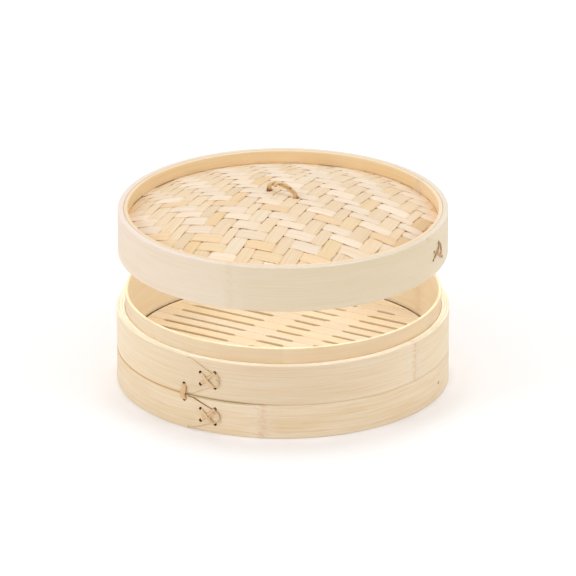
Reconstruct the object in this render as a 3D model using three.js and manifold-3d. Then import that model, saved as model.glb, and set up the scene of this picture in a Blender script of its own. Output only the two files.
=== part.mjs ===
// A bamboo steamer: a round basket with a slatted floor, and a woven lid with a loop handle.
// The lid is shown lifted off its seat, as in a picture that shows both at once.
// Millimetres, +Z up. The origin is the centre of the basket's foot, and the front faces -Y.
// Azimuths are counted from the front towards +X.

import * as THREE from "three";
import { mergeVertices } from "three/addons/utils/BufferGeometryUtils.js";
import Module from "manifold-3d";

const wasm = await Module();
wasm.setup();

const degrees = THREE.MathUtils.degToRad;

// Clearances
const GAP = 0.3; // between pieces that touch on the real object
const LID_PLAY = 0.5; // the lid's wall round the spigot
const LID_HEADROOM = 2.0; // above the spigot, inside the seated lid
const SOCKET_HEADROOM = 1.0; // above the spigot of a tier below, inside the foot

// Basket wall
const BASKET_RADIUS = 125.0; // over the wound bands, a 10 inch steamer
const BAND_THICKNESS = 6.2;
const LOWER_BAND_HEIGHT = 26.6;
const UPPER_BAND_HEIGHT = 30.7;
const HOOP_THICKNESS = 2.2; // the inner hoop
const SPIGOT_HEIGHT = 12.2; // how far the inner hoop stands above the bands
const EDGE = 0.6; // chamfer on the edges of hoops and bands

// Floor
const FLOOR_TOP = 26.0;
const FLOOR_ANGLE = degrees(-30.3); // the way the slats run, from +X
const FLOOR_SEAM = 1.6; // the open ring between the floor and the inner hoop
const SLAT_THICKNESS = 3.0;
const SLAT_COUNT = 19;
const FIRST_SLAT_WIDTH = 11.6; // the edge slats, cut to suit
const LAST_SLAT_WIDTH = 12.9;
const SLOT_WIDTH = 3.4; // between the notched stretches of two slats
const SLOT_TAPER = 1.5; // how far a notch takes to reach its depth
const SLOT_MARGIN = 13.7; // from the ends of the outer slots to the floor's edge
const SHORTEST_SLOT = 8.0;
const BATTEN_THICKNESS = 5.0;
const BATTEN_WIDTH = 16.0;
const BATTEN_SPACING = 41.0;
const BATTEN_SHIFT = -6.8; // the middle between the battens, off the axis
const BATTEN_LEAN = degrees(-4.3); // how far the battens lie off square to the slats
const BATTEN_MARGIN = 0.8; // a slot stops this far from a batten
const SUPPORT_THICKNESS = 4.0; // the hoop that carries the floor

// Scarf joints: the thinned, tapered end of a wound band, laced down on the turn beneath
const SCARF_STEP = 0.9; // the thinned end's thickness
const TONGUE_LENGTH = 26.5;
const TONGUE_TIP_LENGTH = 7.2;
const TONGUE_TIP_HALF = 5.8; // half the height where the taper turns into the rounded tip
const TONGUE_TIP_FULLNESS = 0.75; // how blunt the rounding is: 0 is a point, 1 is square
const BASKET_TIP_AZIMUTH = degrees(-22.1);
const LID_TIP_AZIMUTH = degrees(70.5);

// Lacings of split cane through holes in the bands
const CANE_WIDTH = 1.7;
const CANE_THICKNESS = 0.9;
const CANE_FLAT = 0.7; // the share of its width over which it is flat
const CANE_SLACK = 0.1; // how far it lies off the wall, beyond the gap
const CANE_CROSSING = 0.8; // how far the upper cane rides up where two cross
const LACE_HOLE_RADIUS = 1.25;
const LACE_BACK = 9.6; // from the middle of a lacing to the tongue's tip
const LACE_HALF_WIDTH = 5.75;
const LACE_NEAR_HALF = 4.6; // half the height between the holes through the tongue
const LACE_FAR_HALF = 6.0; // the same beyond its tip
const TIE_BACK = 29.8; // from the upright tie to the tongues' tips
const TIE_BELOW = 4.4; // the tie's holes, from the seam between the bands
const TIE_ABOVE = 8.2;
const LID_LACE_BACK = 5.5;
// Holes of the lid's lacing, from its middle: along the wall and up
const LID_LACE_HOLES = {
  top: [3.2, 6.0],
  inner: [6.3, -4.3],
  far: [11.2, -8.6],
  nearLow: [-9.3, -3.8],
  nearHigh: [-8.0, 2.1],
};

// The bamboo nail through the plies of the lower band
const NAIL_RADIUS = 0.8;
const NAIL_HEIGHT = 12.0; // above the foot
const NAIL_AZIMUTH = degrees(68.6);
const NAIL_PROUD = 0.3;
const NAIL_CROWN = 0.7; // where its head's dome turns, as a share of its radius and height
const NAIL_COVER = 1.2; // band left between its point and the inner hoop

// Lid
const LID_HEIGHT = 34.6;
const LID_WALL_THICKNESS = 4.9;
const LID_HOOP_THICKNESS = 2.7; // the two hoops that clamp the woven panel
const LID_LIFT = 42.7; // from its seat to where it is shown
const PANEL_THICKNESS = 1.6;
const PANEL_SETBACK = 9.8; // from the rim down to the panel's edge
const PANEL_RISE = 20.2;

// Handle
const LOOP_RADIUS = 1.85; // of the twisted cane
const LOOP_HALF_SPAN = 12.7;
const LOOP_RISE = 7.1; // its middle line above the panel
const LOOP_SLACK = 1.5; // between the panel and the part of the loop beneath it
const LOOP_BEND = 2.6; // the middle line's radius where the loop turns under the panel
const LOOP_ANGLE = degrees(-37.3); // the line through its feet, from +X
const LOOP_TILT = degrees(30); // how far it leans either way
const FOOT_PLAY = 0.25; // in the panel's holes, along that line

// Facets
const SEGMENTS = 64; // round a hoop
const PANEL_RINGS = 7;
const TIP_STEPS = 5; // over each half of a tongue's rounded tip
const CANE_STEPS = 16;
const LOOP_STEPS = 44;
const LOOP_SIDES = 8;
const HOLE_SIDES = 12;
const CUT_MARGIN = 1.0; // how far a cut runs past what it cuts
const WELD = 1e-4; // corners closer than this are one

// Sizes that follow
const bandInner = BASKET_RADIUS - BAND_THICKNESS;
const hoopOuter = bandInner - GAP;
const hoopInner = hoopOuter - HOOP_THICKNESS;
const upperBandLow = LOWER_BAND_HEIGHT + GAP;
const ledge = upperBandLow + UPPER_BAND_HEIGHT;
const spigotTop = ledge + SPIGOT_HEIGHT;
const hoopLow = SPIGOT_HEIGHT + SOCKET_HEADROOM;

const supportOuter = hoopInner - GAP;
const supportInner = supportOuter - SUPPORT_THICKNESS;
const slatLow = FLOOR_TOP - SLAT_THICKNESS;
const battenTop = slatLow - GAP;
const floorRadius = hoopInner - FLOOR_SEAM;
const slatPitch = (2 * floorRadius - FIRST_SLAT_WIDTH - LAST_SLAT_WIDTH) / (SLAT_COUNT - 2);

const lidInner = hoopOuter + LID_PLAY;
const lidRadius = lidInner + LID_WALL_THICKNESS;
const lidHoopOuter = lidInner - GAP;
const lidHoopInner = lidHoopOuter - LID_HOOP_THICKNESS;
const panelEdgeTop = LID_HEIGHT - PANEL_SETBACK;
const panelEdgeLow = panelEdgeTop - PANEL_THICKNESS;
const panelCrown = panelEdgeTop + PANEL_RISE;
const panelDrop = (radius) => PANEL_RISE * (radius / lidHoopInner) ** 2;
// The loop leans about a line in the middle of the panel at its feet
const loopAxisHeight = panelCrown - panelDrop(LOOP_HALF_SPAN) - PANEL_THICKNESS / 2;

const canePitch = GAP + CANE_SLACK + CANE_THICKNESS / 2; // a cane's middle above the wall it crosses

const material = (name, color, roughness = 0.6) =>
  new THREE.MeshStandardMaterial({ name, color, roughness, metalness: 0 });

const bandBamboo = material("band_bamboo", 0xe6cfab);
const hoopBamboo = material("hoop_bamboo", 0xe9cd9f);
const slatBamboo = material("slat_bamboo", 0xf3dcb8);
const wovenBamboo = material("woven_bamboo", 0xf0d9b5);
const laceCane = material("lace_cane", 0xd8b283, 0.7);
const darkCane = material("dark_cane", 0xb08a62, 0.7);
const loopCane = material("loop_cane", 0xcda673, 0.7);

// A closed geometry as a solid that can be joined and cut.
function solidOf(geometry) {
  const bare = new THREE.BufferGeometry();
  bare.setAttribute("position", geometry.getAttribute("position"));
  bare.setIndex(geometry.index);
  const merged = mergeVertices(bare, WELD);
  const corners = merged.index.array;
  const kept = [];
  for (let i = 0; i < corners.length; i += 3) {
    const [a, b, c] = corners.slice(i, i + 3);
    if (a !== b && b !== c && c !== a) kept.push(a, b, c);
  }
  return new wasm.Manifold(
    new wasm.Mesh({
      numProp: 3,
      vertProperties: merged.attributes.position.array,
      triVerts: new Uint32Array(kept),
    }),
  );
}

function meshOf(name, solid, meshMaterial) {
  const made = solid.getMesh();
  const geometry = new THREE.BufferGeometry();
  geometry.setAttribute("position", new THREE.BufferAttribute(made.vertProperties, 3));
  geometry.setIndex(new THREE.BufferAttribute(made.triVerts, 1));
  geometry.computeVertexNormals();
  const mesh = new THREE.Mesh(geometry, meshMaterial);
  mesh.name = name;
  return mesh;
}

// Moves a geometry drawn flat, with X along the wall, Y up and Z out of it, onto the wall.
function onWall(geometry, azimuth, radius, height) {
  const along = new THREE.Vector3(Math.cos(azimuth), Math.sin(azimuth), 0);
  const up = new THREE.Vector3(0, 0, 1);
  const out = new THREE.Vector3(Math.sin(azimuth), -Math.cos(azimuth), 0);
  const place = out.clone().multiplyScalar(radius).setZ(height);
  return geometry.applyMatrix4(new THREE.Matrix4().makeBasis(along, up, out).setPosition(place));
}

// A plain bent hoop, with chamfers where asked for.
function hoop({ inner, outer, low, high, topEdge = 0, lowEdge = 0 }) {
  const profile = [
    [outer - lowEdge, low],
    [outer, low + lowEdge],
    [outer, high - topEdge],
    [outer - topEdge, high],
    [inner + topEdge, high],
    [inner, high - topEdge],
    [inner, low + lowEdge],
    [inner + lowEdge, low],
    [outer - lowEdge, low],
  ].map(([r, z]) => new THREE.Vector2(r, z));
  return solidOf(new THREE.LatheGeometry(profile, SEGMENTS).rotateX(Math.PI / 2));
}

// The flat outline of what is pared away round a tongue, X along the wall from its tip.
function pareOutline(height) {
  const half = height / 2;
  const beyond = half + CUT_MARGIN;
  const outline = new THREE.Shape();
  outline.moveTo(-TONGUE_LENGTH, beyond);
  outline.lineTo(-TONGUE_LENGTH, half);
  outline.lineTo(-TONGUE_TIP_LENGTH, TONGUE_TIP_HALF);
  outline.quadraticCurveTo(0, TONGUE_TIP_HALF * TONGUE_TIP_FULLNESS, 0, 0);
  outline.quadraticCurveTo(0, -TONGUE_TIP_HALF * TONGUE_TIP_FULLNESS, -TONGUE_TIP_LENGTH, -TONGUE_TIP_HALF);
  outline.lineTo(-TONGUE_LENGTH, -half);
  outline.lineTo(-TONGUE_LENGTH, -beyond);
  outline.lineTo(CUT_MARGIN, -beyond);
  outline.lineTo(CUT_MARGIN, beyond);
  outline.closePath();
  return outline;
}

// The outer radius of a wound band, as a share of a turn past its tip.
const woundRadius = (outer, turned) => outer - SCARF_STEP * (1 - turned);

// A band wound from one strip: its outside steps in by the end's thickness just past the tip,
// and the end itself is pared to a tongue.
function woundBand({ inner, outer, height, tip }) {
  const outline = [];
  const bore = [];
  for (let i = 0; i <= SEGMENTS; i++) {
    const azimuth = tip + (2 * Math.PI * i) / SEGMENTS;
    const radius = woundRadius(outer, i / SEGMENTS);
    outline.push(new THREE.Vector2(radius * Math.sin(azimuth), -radius * Math.cos(azimuth)));
    if (i < SEGMENTS) bore.push(new THREE.Vector2(inner * Math.sin(azimuth), -inner * Math.cos(azimuth)));
  }
  const plan = new THREE.Shape(outline);
  plan.holes.push(new THREE.Path(bore));
  const band = new THREE.ExtrudeGeometry(plan, {
    depth: height - 2 * EDGE,
    bevelThickness: EDGE,
    bevelSize: EDGE,
    bevelOffset: -EDGE,
    bevelSegments: 1,
  }).translate(0, 0, EDGE);
  const pare = new THREE.ExtrudeGeometry(pareOutline(height), {
    depth: BAND_THICKNESS,
    bevelEnabled: false,
    curveSegments: TIP_STEPS,
  }).translate(TONGUE_LENGTH / 2, 0, -BAND_THICKNESS / 2);
  onWall(pare, tip - TONGUE_LENGTH / 2 / outer, outer, height / 2);
  const skin = hoop({
    inner: outer - SCARF_STEP,
    outer: outer + CUT_MARGIN,
    low: -2 * CUT_MARGIN,
    high: height + 2 * CUT_MARGIN,
  }).rotate([0, 0, THREE.MathUtils.radToDeg(tip)]);
  return solidOf(band).subtract(solidOf(pare).intersect(skin));
}

// A hole straight into a wall, at a flat offset from a place on it.
function wallHole({ azimuth, radius, height, at: [along, up], holeRadius, depth }) {
  const hole = new THREE.CylinderGeometry(holeRadius, holeRadius, depth + CUT_MARGIN, HOLE_SIDES);
  hole.rotateX(Math.PI / 2).translate(along, up, (CUT_MARGIN - depth) / 2);
  return solidOf(onWall(hole, azimuth, radius, height));
}

// One cane that comes out of a hole, crosses the wall and goes into another hole. It lies as
// high as the tongue all the way, and goes down to the turn beneath only at a hole beyond it.
function cane({ azimuth, radius, height, from, to, crossing = 0, depth }) {
  const half = Math.hypot(to[0] - from[0], to[1] - from[1]) / 2;
  const turn = CANE_THICKNESS;
  const curveDrop = (along) => radius - Math.sqrt(radius ** 2 - along ** 2);
  const start = -curveDrop(from[0]);
  const end = -curveDrop(to[0]);
  const path = new THREE.CatmullRomCurve3(
    [
      [-half, -depth],
      [-half, start],
      [-half + turn, start + canePitch],
      [0, canePitch + crossing],
      [half - turn, end + canePitch],
      [half, end],
      [half, -depth],
    ].map(([x, z]) => new THREE.Vector3(x, 0, z)),
  );
  const w = CANE_WIDTH / 2;
  const t = CANE_THICKNESS / 2;
  const section = new THREE.Shape(
    [
      [w, 0],
      [w * CANE_FLAT, t],
      [-w * CANE_FLAT, t],
      [-w, 0],
      [-w * CANE_FLAT, -t],
      [w * CANE_FLAT, -t],
    ].map(([x, y]) => new THREE.Vector2(x, y)),
  );
  const made = new THREE.ExtrudeGeometry(section, { steps: CANE_STEPS, extrudePath: path });
  made.rotateZ(Math.atan2(to[1] - from[1], to[0] - from[0]));
  made.translate((from[0] + to[0]) / 2, (from[1] + to[1]) / 2, 0);
  return solidOf(onWall(made, azimuth, radius, height));
}

const joined = (solids) => solids.reduce((sum, solid) => sum.add(solid));
const pierced = (solid, holes) => holes.reduce((left, hole) => left.subtract(hole), solid);

// Where the pieces of a lacing go through a wall, and the canes between those places.
function lacing({ azimuth, radius, height, wall, canes }) {
  const place = { azimuth, radius, height };
  const spots = new Map(canes.flatMap(({ from, to }) => [from, to]).map((at) => [at.join(), at]));
  return {
    holes: [...spots.values()].map((at) =>
      wallHole({ ...place, at, holeRadius: LACE_HOLE_RADIUS, depth: wall + CUT_MARGIN }),
    ),
    solid: joined(canes.map((one) => cane({ ...place, ...one, depth: wall - GAP }))),
  };
}

// The crossed lacing over a tongue of the basket.
function crossLacing(height) {
  const near = -LACE_HALF_WIDTH;
  const far = LACE_HALF_WIDTH;
  return lacing({
    azimuth: BASKET_TIP_AZIMUTH - LACE_BACK / BASKET_RADIUS,
    radius: BASKET_RADIUS,
    height,
    wall: BAND_THICKNESS,
    canes: [
      { from: [near, -LACE_NEAR_HALF], to: [far, LACE_FAR_HALF] },
      { from: [near, LACE_NEAR_HALF], to: [far, -LACE_FAR_HALF], crossing: CANE_CROSSING },
    ],
  });
}

function bandTie() {
  return lacing({
    azimuth: BASKET_TIP_AZIMUTH - TIE_BACK / BASKET_RADIUS,
    radius: BASKET_RADIUS,
    height: LOWER_BAND_HEIGHT + GAP / 2,
    wall: BAND_THICKNESS,
    canes: [{ from: [0, -TIE_BELOW], to: [0, TIE_ABOVE] }],
  });
}

function lidLacing() {
  const at = LID_LACE_HOLES;
  return lacing({
    azimuth: LID_TIP_AZIMUTH - LID_LACE_BACK / lidRadius,
    radius: lidRadius,
    height: LID_HEIGHT / 2,
    wall: LID_WALL_THICKNESS,
    canes: [
      { from: at.nearHigh, to: at.far },
      { from: at.nearLow, to: at.top, crossing: CANE_CROSSING },
      { from: at.inner, to: at.top },
    ],
  });
}

// A nail with a low domed head, and the hole that it fills.
function bandNail() {
  const face = woundRadius(BASKET_RADIUS, (NAIL_AZIMUTH - BASKET_TIP_AZIMUTH) / (2 * Math.PI));
  const length = face - bandInner - NAIL_COVER;
  const profile = [
    [0, NAIL_PROUD],
    [NAIL_RADIUS * NAIL_CROWN, NAIL_PROUD * NAIL_CROWN],
    [NAIL_RADIUS, 0],
    [NAIL_RADIUS, -length + NAIL_RADIUS],
    [NAIL_RADIUS / 2, -length],
    [0, -length],
  ].map(([r, z]) => new THREE.Vector2(r, z));
  const nail = new THREE.LatheGeometry(profile.reverse(), HOLE_SIDES).rotateX(Math.PI / 2);
  return {
    hole: wallHole({
      azimuth: NAIL_AZIMUTH,
      radius: face,
      height: NAIL_HEIGHT,
      at: [0, 0],
      holeRadius: NAIL_RADIUS + GAP,
      depth: length + GAP,
    }),
    solid: solidOf(onWall(nail, NAIL_AZIMUTH, face, NAIL_HEIGHT)),
  };
}

// The places across the slats where one slat ends and the next begins.
function slatJoints() {
  const joints = [];
  for (let k = 0; k < SLAT_COUNT - 1; k++) joints.push(FIRST_SLAT_WIDTH - floorRadius + k * slatPitch);
  return joints;
}

// The stretches along a joint between slats that are open, between the battens.
function slotSpans(joint) {
  const reach = Math.sqrt(Math.max(0, (floorRadius - SLOT_MARGIN) ** 2 - joint ** 2));
  const solidHalf = BATTEN_WIDTH / 2 + BATTEN_MARGIN;
  const [near, far] = battenPlaces().map(
    (place) => place / Math.cos(BATTEN_LEAN) - joint * Math.tan(BATTEN_LEAN),
  );
  const spans = [
    [-reach, near - solidHalf],
    [near + solidHalf, far - solidHalf],
    [far + solidHalf, reach],
  ];
  return spans
    .map(([a, b]) => [Math.max(a, -reach), Math.min(b, reach)])
    .filter(([a, b]) => b - a > SHORTEST_SLOT);
}

function battenPlaces() {
  return [BATTEN_SHIFT - BATTEN_SPACING / 2, BATTEN_SHIFT + BATTEN_SPACING / 2];
}

// One long side of a slat, from -X to +X: straight, and notched where the slots are.
function slatSide(joint, inward) {
  const line = joint + (inward * GAP) / 2;
  const notch = joint + (inward * SLOT_WIDTH) / 2;
  const points = [[-floorRadius - CUT_MARGIN, line]];
  for (const [a, b] of slotSpans(joint)) {
    points.push([a, line], [a + SLOT_TAPER, notch], [b - SLOT_TAPER, notch], [b, line]);
  }
  points.push([floorRadius + CUT_MARGIN, line]);
  return points;
}

function slat(low, high) {
  const edge = floorRadius + CUT_MARGIN;
  const plain = (y) => [
    [-edge, y],
    [edge, y],
  ];
  const lowSide = low === null ? plain(-edge) : slatSide(low, 1);
  const highSide = high === null ? plain(edge) : slatSide(high, -1);
  const outline = new THREE.Shape(
    [...lowSide, ...highSide.reverse()].map(([x, y]) => new THREE.Vector2(x, y)),
  );
  const strip = new THREE.ExtrudeGeometry(outline, { depth: SLAT_THICKNESS, bevelEnabled: false });
  const reach = SLAT_THICKNESS + 2 * CUT_MARGIN;
  const disc = new THREE.CylinderGeometry(floorRadius, floorRadius, reach, SEGMENTS);
  disc.rotateX(Math.PI / 2).translate(0, 0, SLAT_THICKNESS / 2);
  return solidOf(strip).intersect(solidOf(disc));
}

function battenLength(place) {
  return 2 * Math.sqrt(supportOuter ** 2 - (Math.abs(place) + BATTEN_WIDTH / 2) ** 2);
}

function batten(place) {
  return solidOf(new THREE.BoxGeometry(BATTEN_WIDTH, battenLength(place), BATTEN_THICKNESS));
}

// The hoop under the floor, notched for the battens' ends.
function supportHoop() {
  const whole = hoop({ inner: supportInner, outer: supportOuter, low: hoopLow, high: battenTop });
  const notches = battenPlaces().map((place) => {
    const width = BATTEN_WIDTH + 2 * GAP;
    const depth = BATTEN_THICKNESS + GAP + CUT_MARGIN;
    const notch = new THREE.BoxGeometry(width, 2 * BASKET_RADIUS, depth);
    notch.translate(place, 0, battenTop + CUT_MARGIN - depth / 2).rotateZ(FLOOR_ANGLE + BATTEN_LEAN);
    return solidOf(notch);
  });
  return pierced(whole, notches);
}

// The lid's domed panel, with a flat edge for the hoops and a hole for each foot of the loop.
function wovenPanel() {
  const rim = lidHoopOuter - GAP;
  const top = [];
  for (let i = 0; i <= PANEL_RINGS; i++) {
    const radius = (lidHoopInner * i) / PANEL_RINGS;
    top.push([radius, panelCrown - panelDrop(radius)]);
  }
  const low = top.map(([radius, z]) => [radius, z - PANEL_THICKNESS]);
  const profile = [...low, [rim, panelEdgeLow], [rim, panelEdgeTop], ...top.reverse()].map(
    ([r, z]) => new THREE.Vector2(r, z),
  );
  const panel = solidOf(new THREE.LatheGeometry(profile, SEGMENTS).rotateX(Math.PI / 2));
  const across = LOOP_RADIUS / Math.cos(LOOP_TILT) + (PANEL_THICKNESS / 2) * Math.tan(LOOP_TILT) + GAP;
  const holes = [-1, 1].map((side) => {
    const hole = new THREE.CylinderGeometry(1, 1, PANEL_RISE, 2 * HOLE_SIDES);
    hole.rotateX(Math.PI / 2).scale(LOOP_RADIUS + GAP + FOOT_PLAY, across, 1);
    hole.translate(side * LOOP_HALF_SPAN, 0, panelCrown).rotateZ(LOOP_ANGLE);
    return solidOf(hole);
  });
  return pierced(panel, holes);
}

// The closed loop through the panel: an arch above it, and a flat stretch under it with bent ends.
class HandleLoop extends THREE.Curve {
  constructor() {
    super();
    const rise = panelCrown + LOOP_RISE - loopAxisHeight;
    const drop = loopAxisHeight - (panelCrown - PANEL_THICKNESS - LOOP_SLACK - LOOP_RADIUS);
    const bend = Math.min(LOOP_BEND, drop);
    this.outline = new THREE.Path()
      .absellipse(0, 0, LOOP_HALF_SPAN, rise, 0, Math.PI)
      .lineTo(-LOOP_HALF_SPAN, bend - drop)
      .absarc(bend - LOOP_HALF_SPAN, bend - drop, bend, Math.PI, 1.5 * Math.PI)
      .lineTo(LOOP_HALF_SPAN - bend, -drop)
      .absarc(LOOP_HALF_SPAN - bend, bend - drop, bend, 1.5 * Math.PI, 2 * Math.PI)
      .lineTo(LOOP_HALF_SPAN, 0);
  }

  getPoint(t) {
    const { x, y } = this.outline.getPoint(t);
    return new THREE.Vector3(x, 0, y);
  }
}

function handleLoop() {
  return solidOf(new THREE.TubeGeometry(new HandleLoop(), LOOP_STEPS, LOOP_RADIUS, LOOP_SIDES, true));
}

function buildBasket() {
  const basket = new THREE.Group();
  const innerHoop = hoop({
    inner: hoopInner,
    outer: hoopOuter,
    low: hoopLow,
    high: spigotTop,
    topEdge: EDGE,
  });
  basket.add(meshOf("inner_hoop", innerHoop, hoopBamboo));

  const lowerLacing = crossLacing(LOWER_BAND_HEIGHT / 2);
  const upperLacing = crossLacing(upperBandLow + UPPER_BAND_HEIGHT / 2);
  const tie = bandTie();
  const nail = bandNail();
  const wound = { inner: bandInner, outer: BASKET_RADIUS, tip: BASKET_TIP_AZIMUTH };
  const lowerBand = woundBand({ ...wound, height: LOWER_BAND_HEIGHT });
  const upperBand = woundBand({ ...wound, height: UPPER_BAND_HEIGHT }).translate([0, 0, upperBandLow]);
  const lowerHoles = [...lowerLacing.holes, ...tie.holes, nail.hole];
  const upperHoles = [...upperLacing.holes, ...tie.holes];
  basket.add(
    meshOf("lower_band", pierced(lowerBand, lowerHoles), bandBamboo),
    meshOf("upper_band", pierced(upperBand, upperHoles), bandBamboo),
    meshOf("lower_lacing", lowerLacing.solid, laceCane),
    meshOf("upper_lacing", upperLacing.solid, laceCane),
    meshOf("band_tie", tie.solid, laceCane),
    meshOf("band_nail", nail.solid, darkCane),
    meshOf("support_hoop", supportHoop(), hoopBamboo),
  );

  const floor = new THREE.Group();
  floor.rotation.z = FLOOR_ANGLE;
  const battens = new THREE.Group();
  battens.rotation.z = BATTEN_LEAN;
  battenPlaces().forEach((place, i) => {
    const mesh = meshOf("batten_" + (i + 1), batten(place), slatBamboo);
    mesh.position.set(place, 0, battenTop - BATTEN_THICKNESS / 2);
    battens.add(mesh);
  });
  floor.add(battens);
  const joints = slatJoints();
  const sides = [null, ...joints, null];
  for (let i = 0; i + 1 < sides.length; i++) {
    const number = String(i + 1).padStart(2, "0");
    const mesh = meshOf("slat_" + number, slat(sides[i], sides[i + 1]), slatBamboo);
    mesh.position.z = slatLow;
    floor.add(mesh);
  }
  basket.add(floor);
  return basket;
}

function buildLid() {
  const lid = new THREE.Group();
  lid.position.z = ledge + GAP + LID_LIFT;
  const lacingParts = lidLacing();
  const wall = woundBand({
    inner: lidInner,
    outer: lidRadius,
    height: LID_HEIGHT,
    tip: LID_TIP_AZIMUTH,
  });
  const clamp = { inner: lidHoopInner, outer: lidHoopOuter };
  const upperHoop = hoop({
    ...clamp,
    low: panelEdgeTop + GAP,
    high: LID_HEIGHT,
    topEdge: EDGE,
  });
  const lowerHoop = hoop({
    ...clamp,
    low: SPIGOT_HEIGHT + LID_HEADROOM,
    high: panelEdgeLow - GAP,
  });
  lid.add(
    meshOf("lid_wall", pierced(wall, lacingParts.holes), bandBamboo),
    meshOf("lid_lacing", lacingParts.solid, darkCane),
    meshOf("lid_upper_hoop", upperHoop, hoopBamboo),
    meshOf("lid_lower_hoop", lowerHoop, hoopBamboo),
    meshOf("woven_panel", wovenPanel(), wovenBamboo),
  );

  const handle = new THREE.Group();
  handle.position.z = loopAxisHeight;
  handle.rotation.z = LOOP_ANGLE;
  handle.add(meshOf("handle_loop", handleLoop(), loopCane));
  lid.add(handle);
  return lid;
}

const group = new THREE.Group();
group.add(buildBasket(), buildLid());

export default group;
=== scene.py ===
"""A bamboo steamer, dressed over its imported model: wound bands, slatted floor, woven lid, cane lacings."""

import math
import random

import bpy
import numpy as np
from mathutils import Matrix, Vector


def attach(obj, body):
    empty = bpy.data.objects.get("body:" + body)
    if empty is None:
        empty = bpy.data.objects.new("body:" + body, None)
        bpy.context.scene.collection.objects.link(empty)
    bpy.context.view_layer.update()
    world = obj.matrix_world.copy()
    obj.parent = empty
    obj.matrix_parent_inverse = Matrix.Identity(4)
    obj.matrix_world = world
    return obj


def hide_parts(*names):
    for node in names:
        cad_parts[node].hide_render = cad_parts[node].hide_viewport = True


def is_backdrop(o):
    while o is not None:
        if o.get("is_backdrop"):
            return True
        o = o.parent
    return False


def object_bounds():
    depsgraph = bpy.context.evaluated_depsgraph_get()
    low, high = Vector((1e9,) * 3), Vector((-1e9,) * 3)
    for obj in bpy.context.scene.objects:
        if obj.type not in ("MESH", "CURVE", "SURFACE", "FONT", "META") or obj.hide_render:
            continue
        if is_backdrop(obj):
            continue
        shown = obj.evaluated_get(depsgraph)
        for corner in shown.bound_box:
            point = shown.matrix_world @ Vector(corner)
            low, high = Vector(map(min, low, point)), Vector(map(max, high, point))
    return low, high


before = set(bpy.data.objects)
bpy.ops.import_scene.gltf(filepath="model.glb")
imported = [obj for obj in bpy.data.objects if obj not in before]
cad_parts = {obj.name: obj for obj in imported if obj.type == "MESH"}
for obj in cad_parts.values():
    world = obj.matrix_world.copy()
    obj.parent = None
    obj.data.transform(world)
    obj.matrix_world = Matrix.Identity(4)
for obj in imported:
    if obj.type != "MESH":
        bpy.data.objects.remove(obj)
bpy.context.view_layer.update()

MM = 0.001
TURN = 2 * math.pi

# Sizes of the CAD model, in millimetres. Azimuths are counted from the front towards +X.
GAP = 0.3
BASKET_RADIUS = 125.0
BAND_INNER = 118.8
LOWER_BAND = (0.0, 26.72)
UPPER_BAND = (26.8, 57.6)
SCARF_STEP = 0.9
TONGUE_LENGTH = 26.5
TONGUE_TIP_LENGTH = 7.2
TONGUE_TIP_HALF = 5.8
TONGUE_TIP_FULLNESS = 0.75
BASKET_TIP = math.radians(-22.1)
LID_TIP = math.radians(70.5)
HOOP_OUTER = 118.5
HOOP_INNER = 116.3
HOOP_LOW = 13.2
SPIGOT_TOP = 69.8
SUPPORT_OUTER = 116.0
SUPPORT_INNER = 112.0
BATTEN_LOW = 17.7
BATTEN_TOP = 22.7
HALF_BATTEN = 8.0
BATTEN_PLACES = (-27.3, 13.7)
BATTEN_LEAN = math.radians(-4.3)
BATTEN_MARGIN = 0.8
FLOOR_TOP = 26.0
FLOOR_ANGLE = math.radians(-30.3)
FLOOR_RADIUS = 114.7
SLAT_THICKNESS = 3.0
SLAT_COUNT = 19
FIRST_SLAT_WIDTH = 11.6
LAST_SLAT_WIDTH = 12.9
SLAT_PITCH = (2 * FLOOR_RADIUS - FIRST_SLAT_WIDTH - LAST_SLAT_WIDTH) / (SLAT_COUNT - 2)
SLOT_WIDTH = 3.4
SLOT_TAPER = 1.5
SLOT_MARGIN = 13.7
SHORTEST_SLOT = 8.0
LID_LOW = 100.6
LID_HIGH = 135.2
LID_INNER = 119.0
LID_RADIUS = 123.9
LID_HOOP = (116.0, 118.7)
LOWER_LID_HOOP_LOW = 114.8
PANEL_EDGE = (123.8, 125.4)
PANEL_CROWN = 145.6
PANEL_RISE = PANEL_CROWN - PANEL_EDGE[1]
PANEL_HALF_THICKNESS = 0.8
LOOP_ANGLE = math.radians(-37.3)
LOOP_FEET = (-12.85, 12.2)
LOOP_AXIS = 144.558
NAIL_AZIMUTH = math.radians(68.6)
NAIL_HEIGHT = 12.0
NAIL_RADIUS = 1.1
NAIL_FACE = BASKET_RADIUS - SCARF_STEP * (1 - (NAIL_AZIMUTH - BASKET_TIP) / TURN)

# Where each lacing sits: the azimuth of its middle, the wall's radius, and the height of its middle
LACE_AZIMUTH = BASKET_TIP - 9.6 / BASKET_RADIUS
LOWER_LACE = (LACE_AZIMUTH, BASKET_RADIUS, 13.3)
UPPER_LACE = (LACE_AZIMUTH, BASKET_RADIUS, 42.25)
TIE = (BASKET_TIP - 29.8 / BASKET_RADIUS, BASKET_RADIUS, 26.75)
LID_LACE = (LID_TIP - 5.5 / LID_RADIUS, LID_RADIUS, 117.9)
# Their holes, along the wall from that middle and up from it
LACE_CORNERS = [(-5.75, -4.6), (-5.75, 4.6), (5.75, 6.0), (5.75, -6.0)]
TIE_ENDS = [(0, -4.4), (0, 8.2)]
LID_CORNERS = [(3.2, 6.0), (6.3, -4.3), (11.2, -8.6), (-9.3, -3.8), (-8.0, 2.1)]

# Azimuths of the culm nodes, in degrees
LOWER_BAND_NODE = -7.15
UPPER_BAND_NODE = 51.7
LID_NODE = -19
HOOP_NODE = 118.6


def srgb(code):
    """A colour written as six hex digits, as the linear numbers that Blender takes."""
    parts = [int(code[i : i + 2], 16) / 255 for i in (0, 2, 4)]
    return tuple(c / 12.92 if c <= 0.04045 else ((c + 0.055) / 1.055) ** 2.4 for c in parts)


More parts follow.
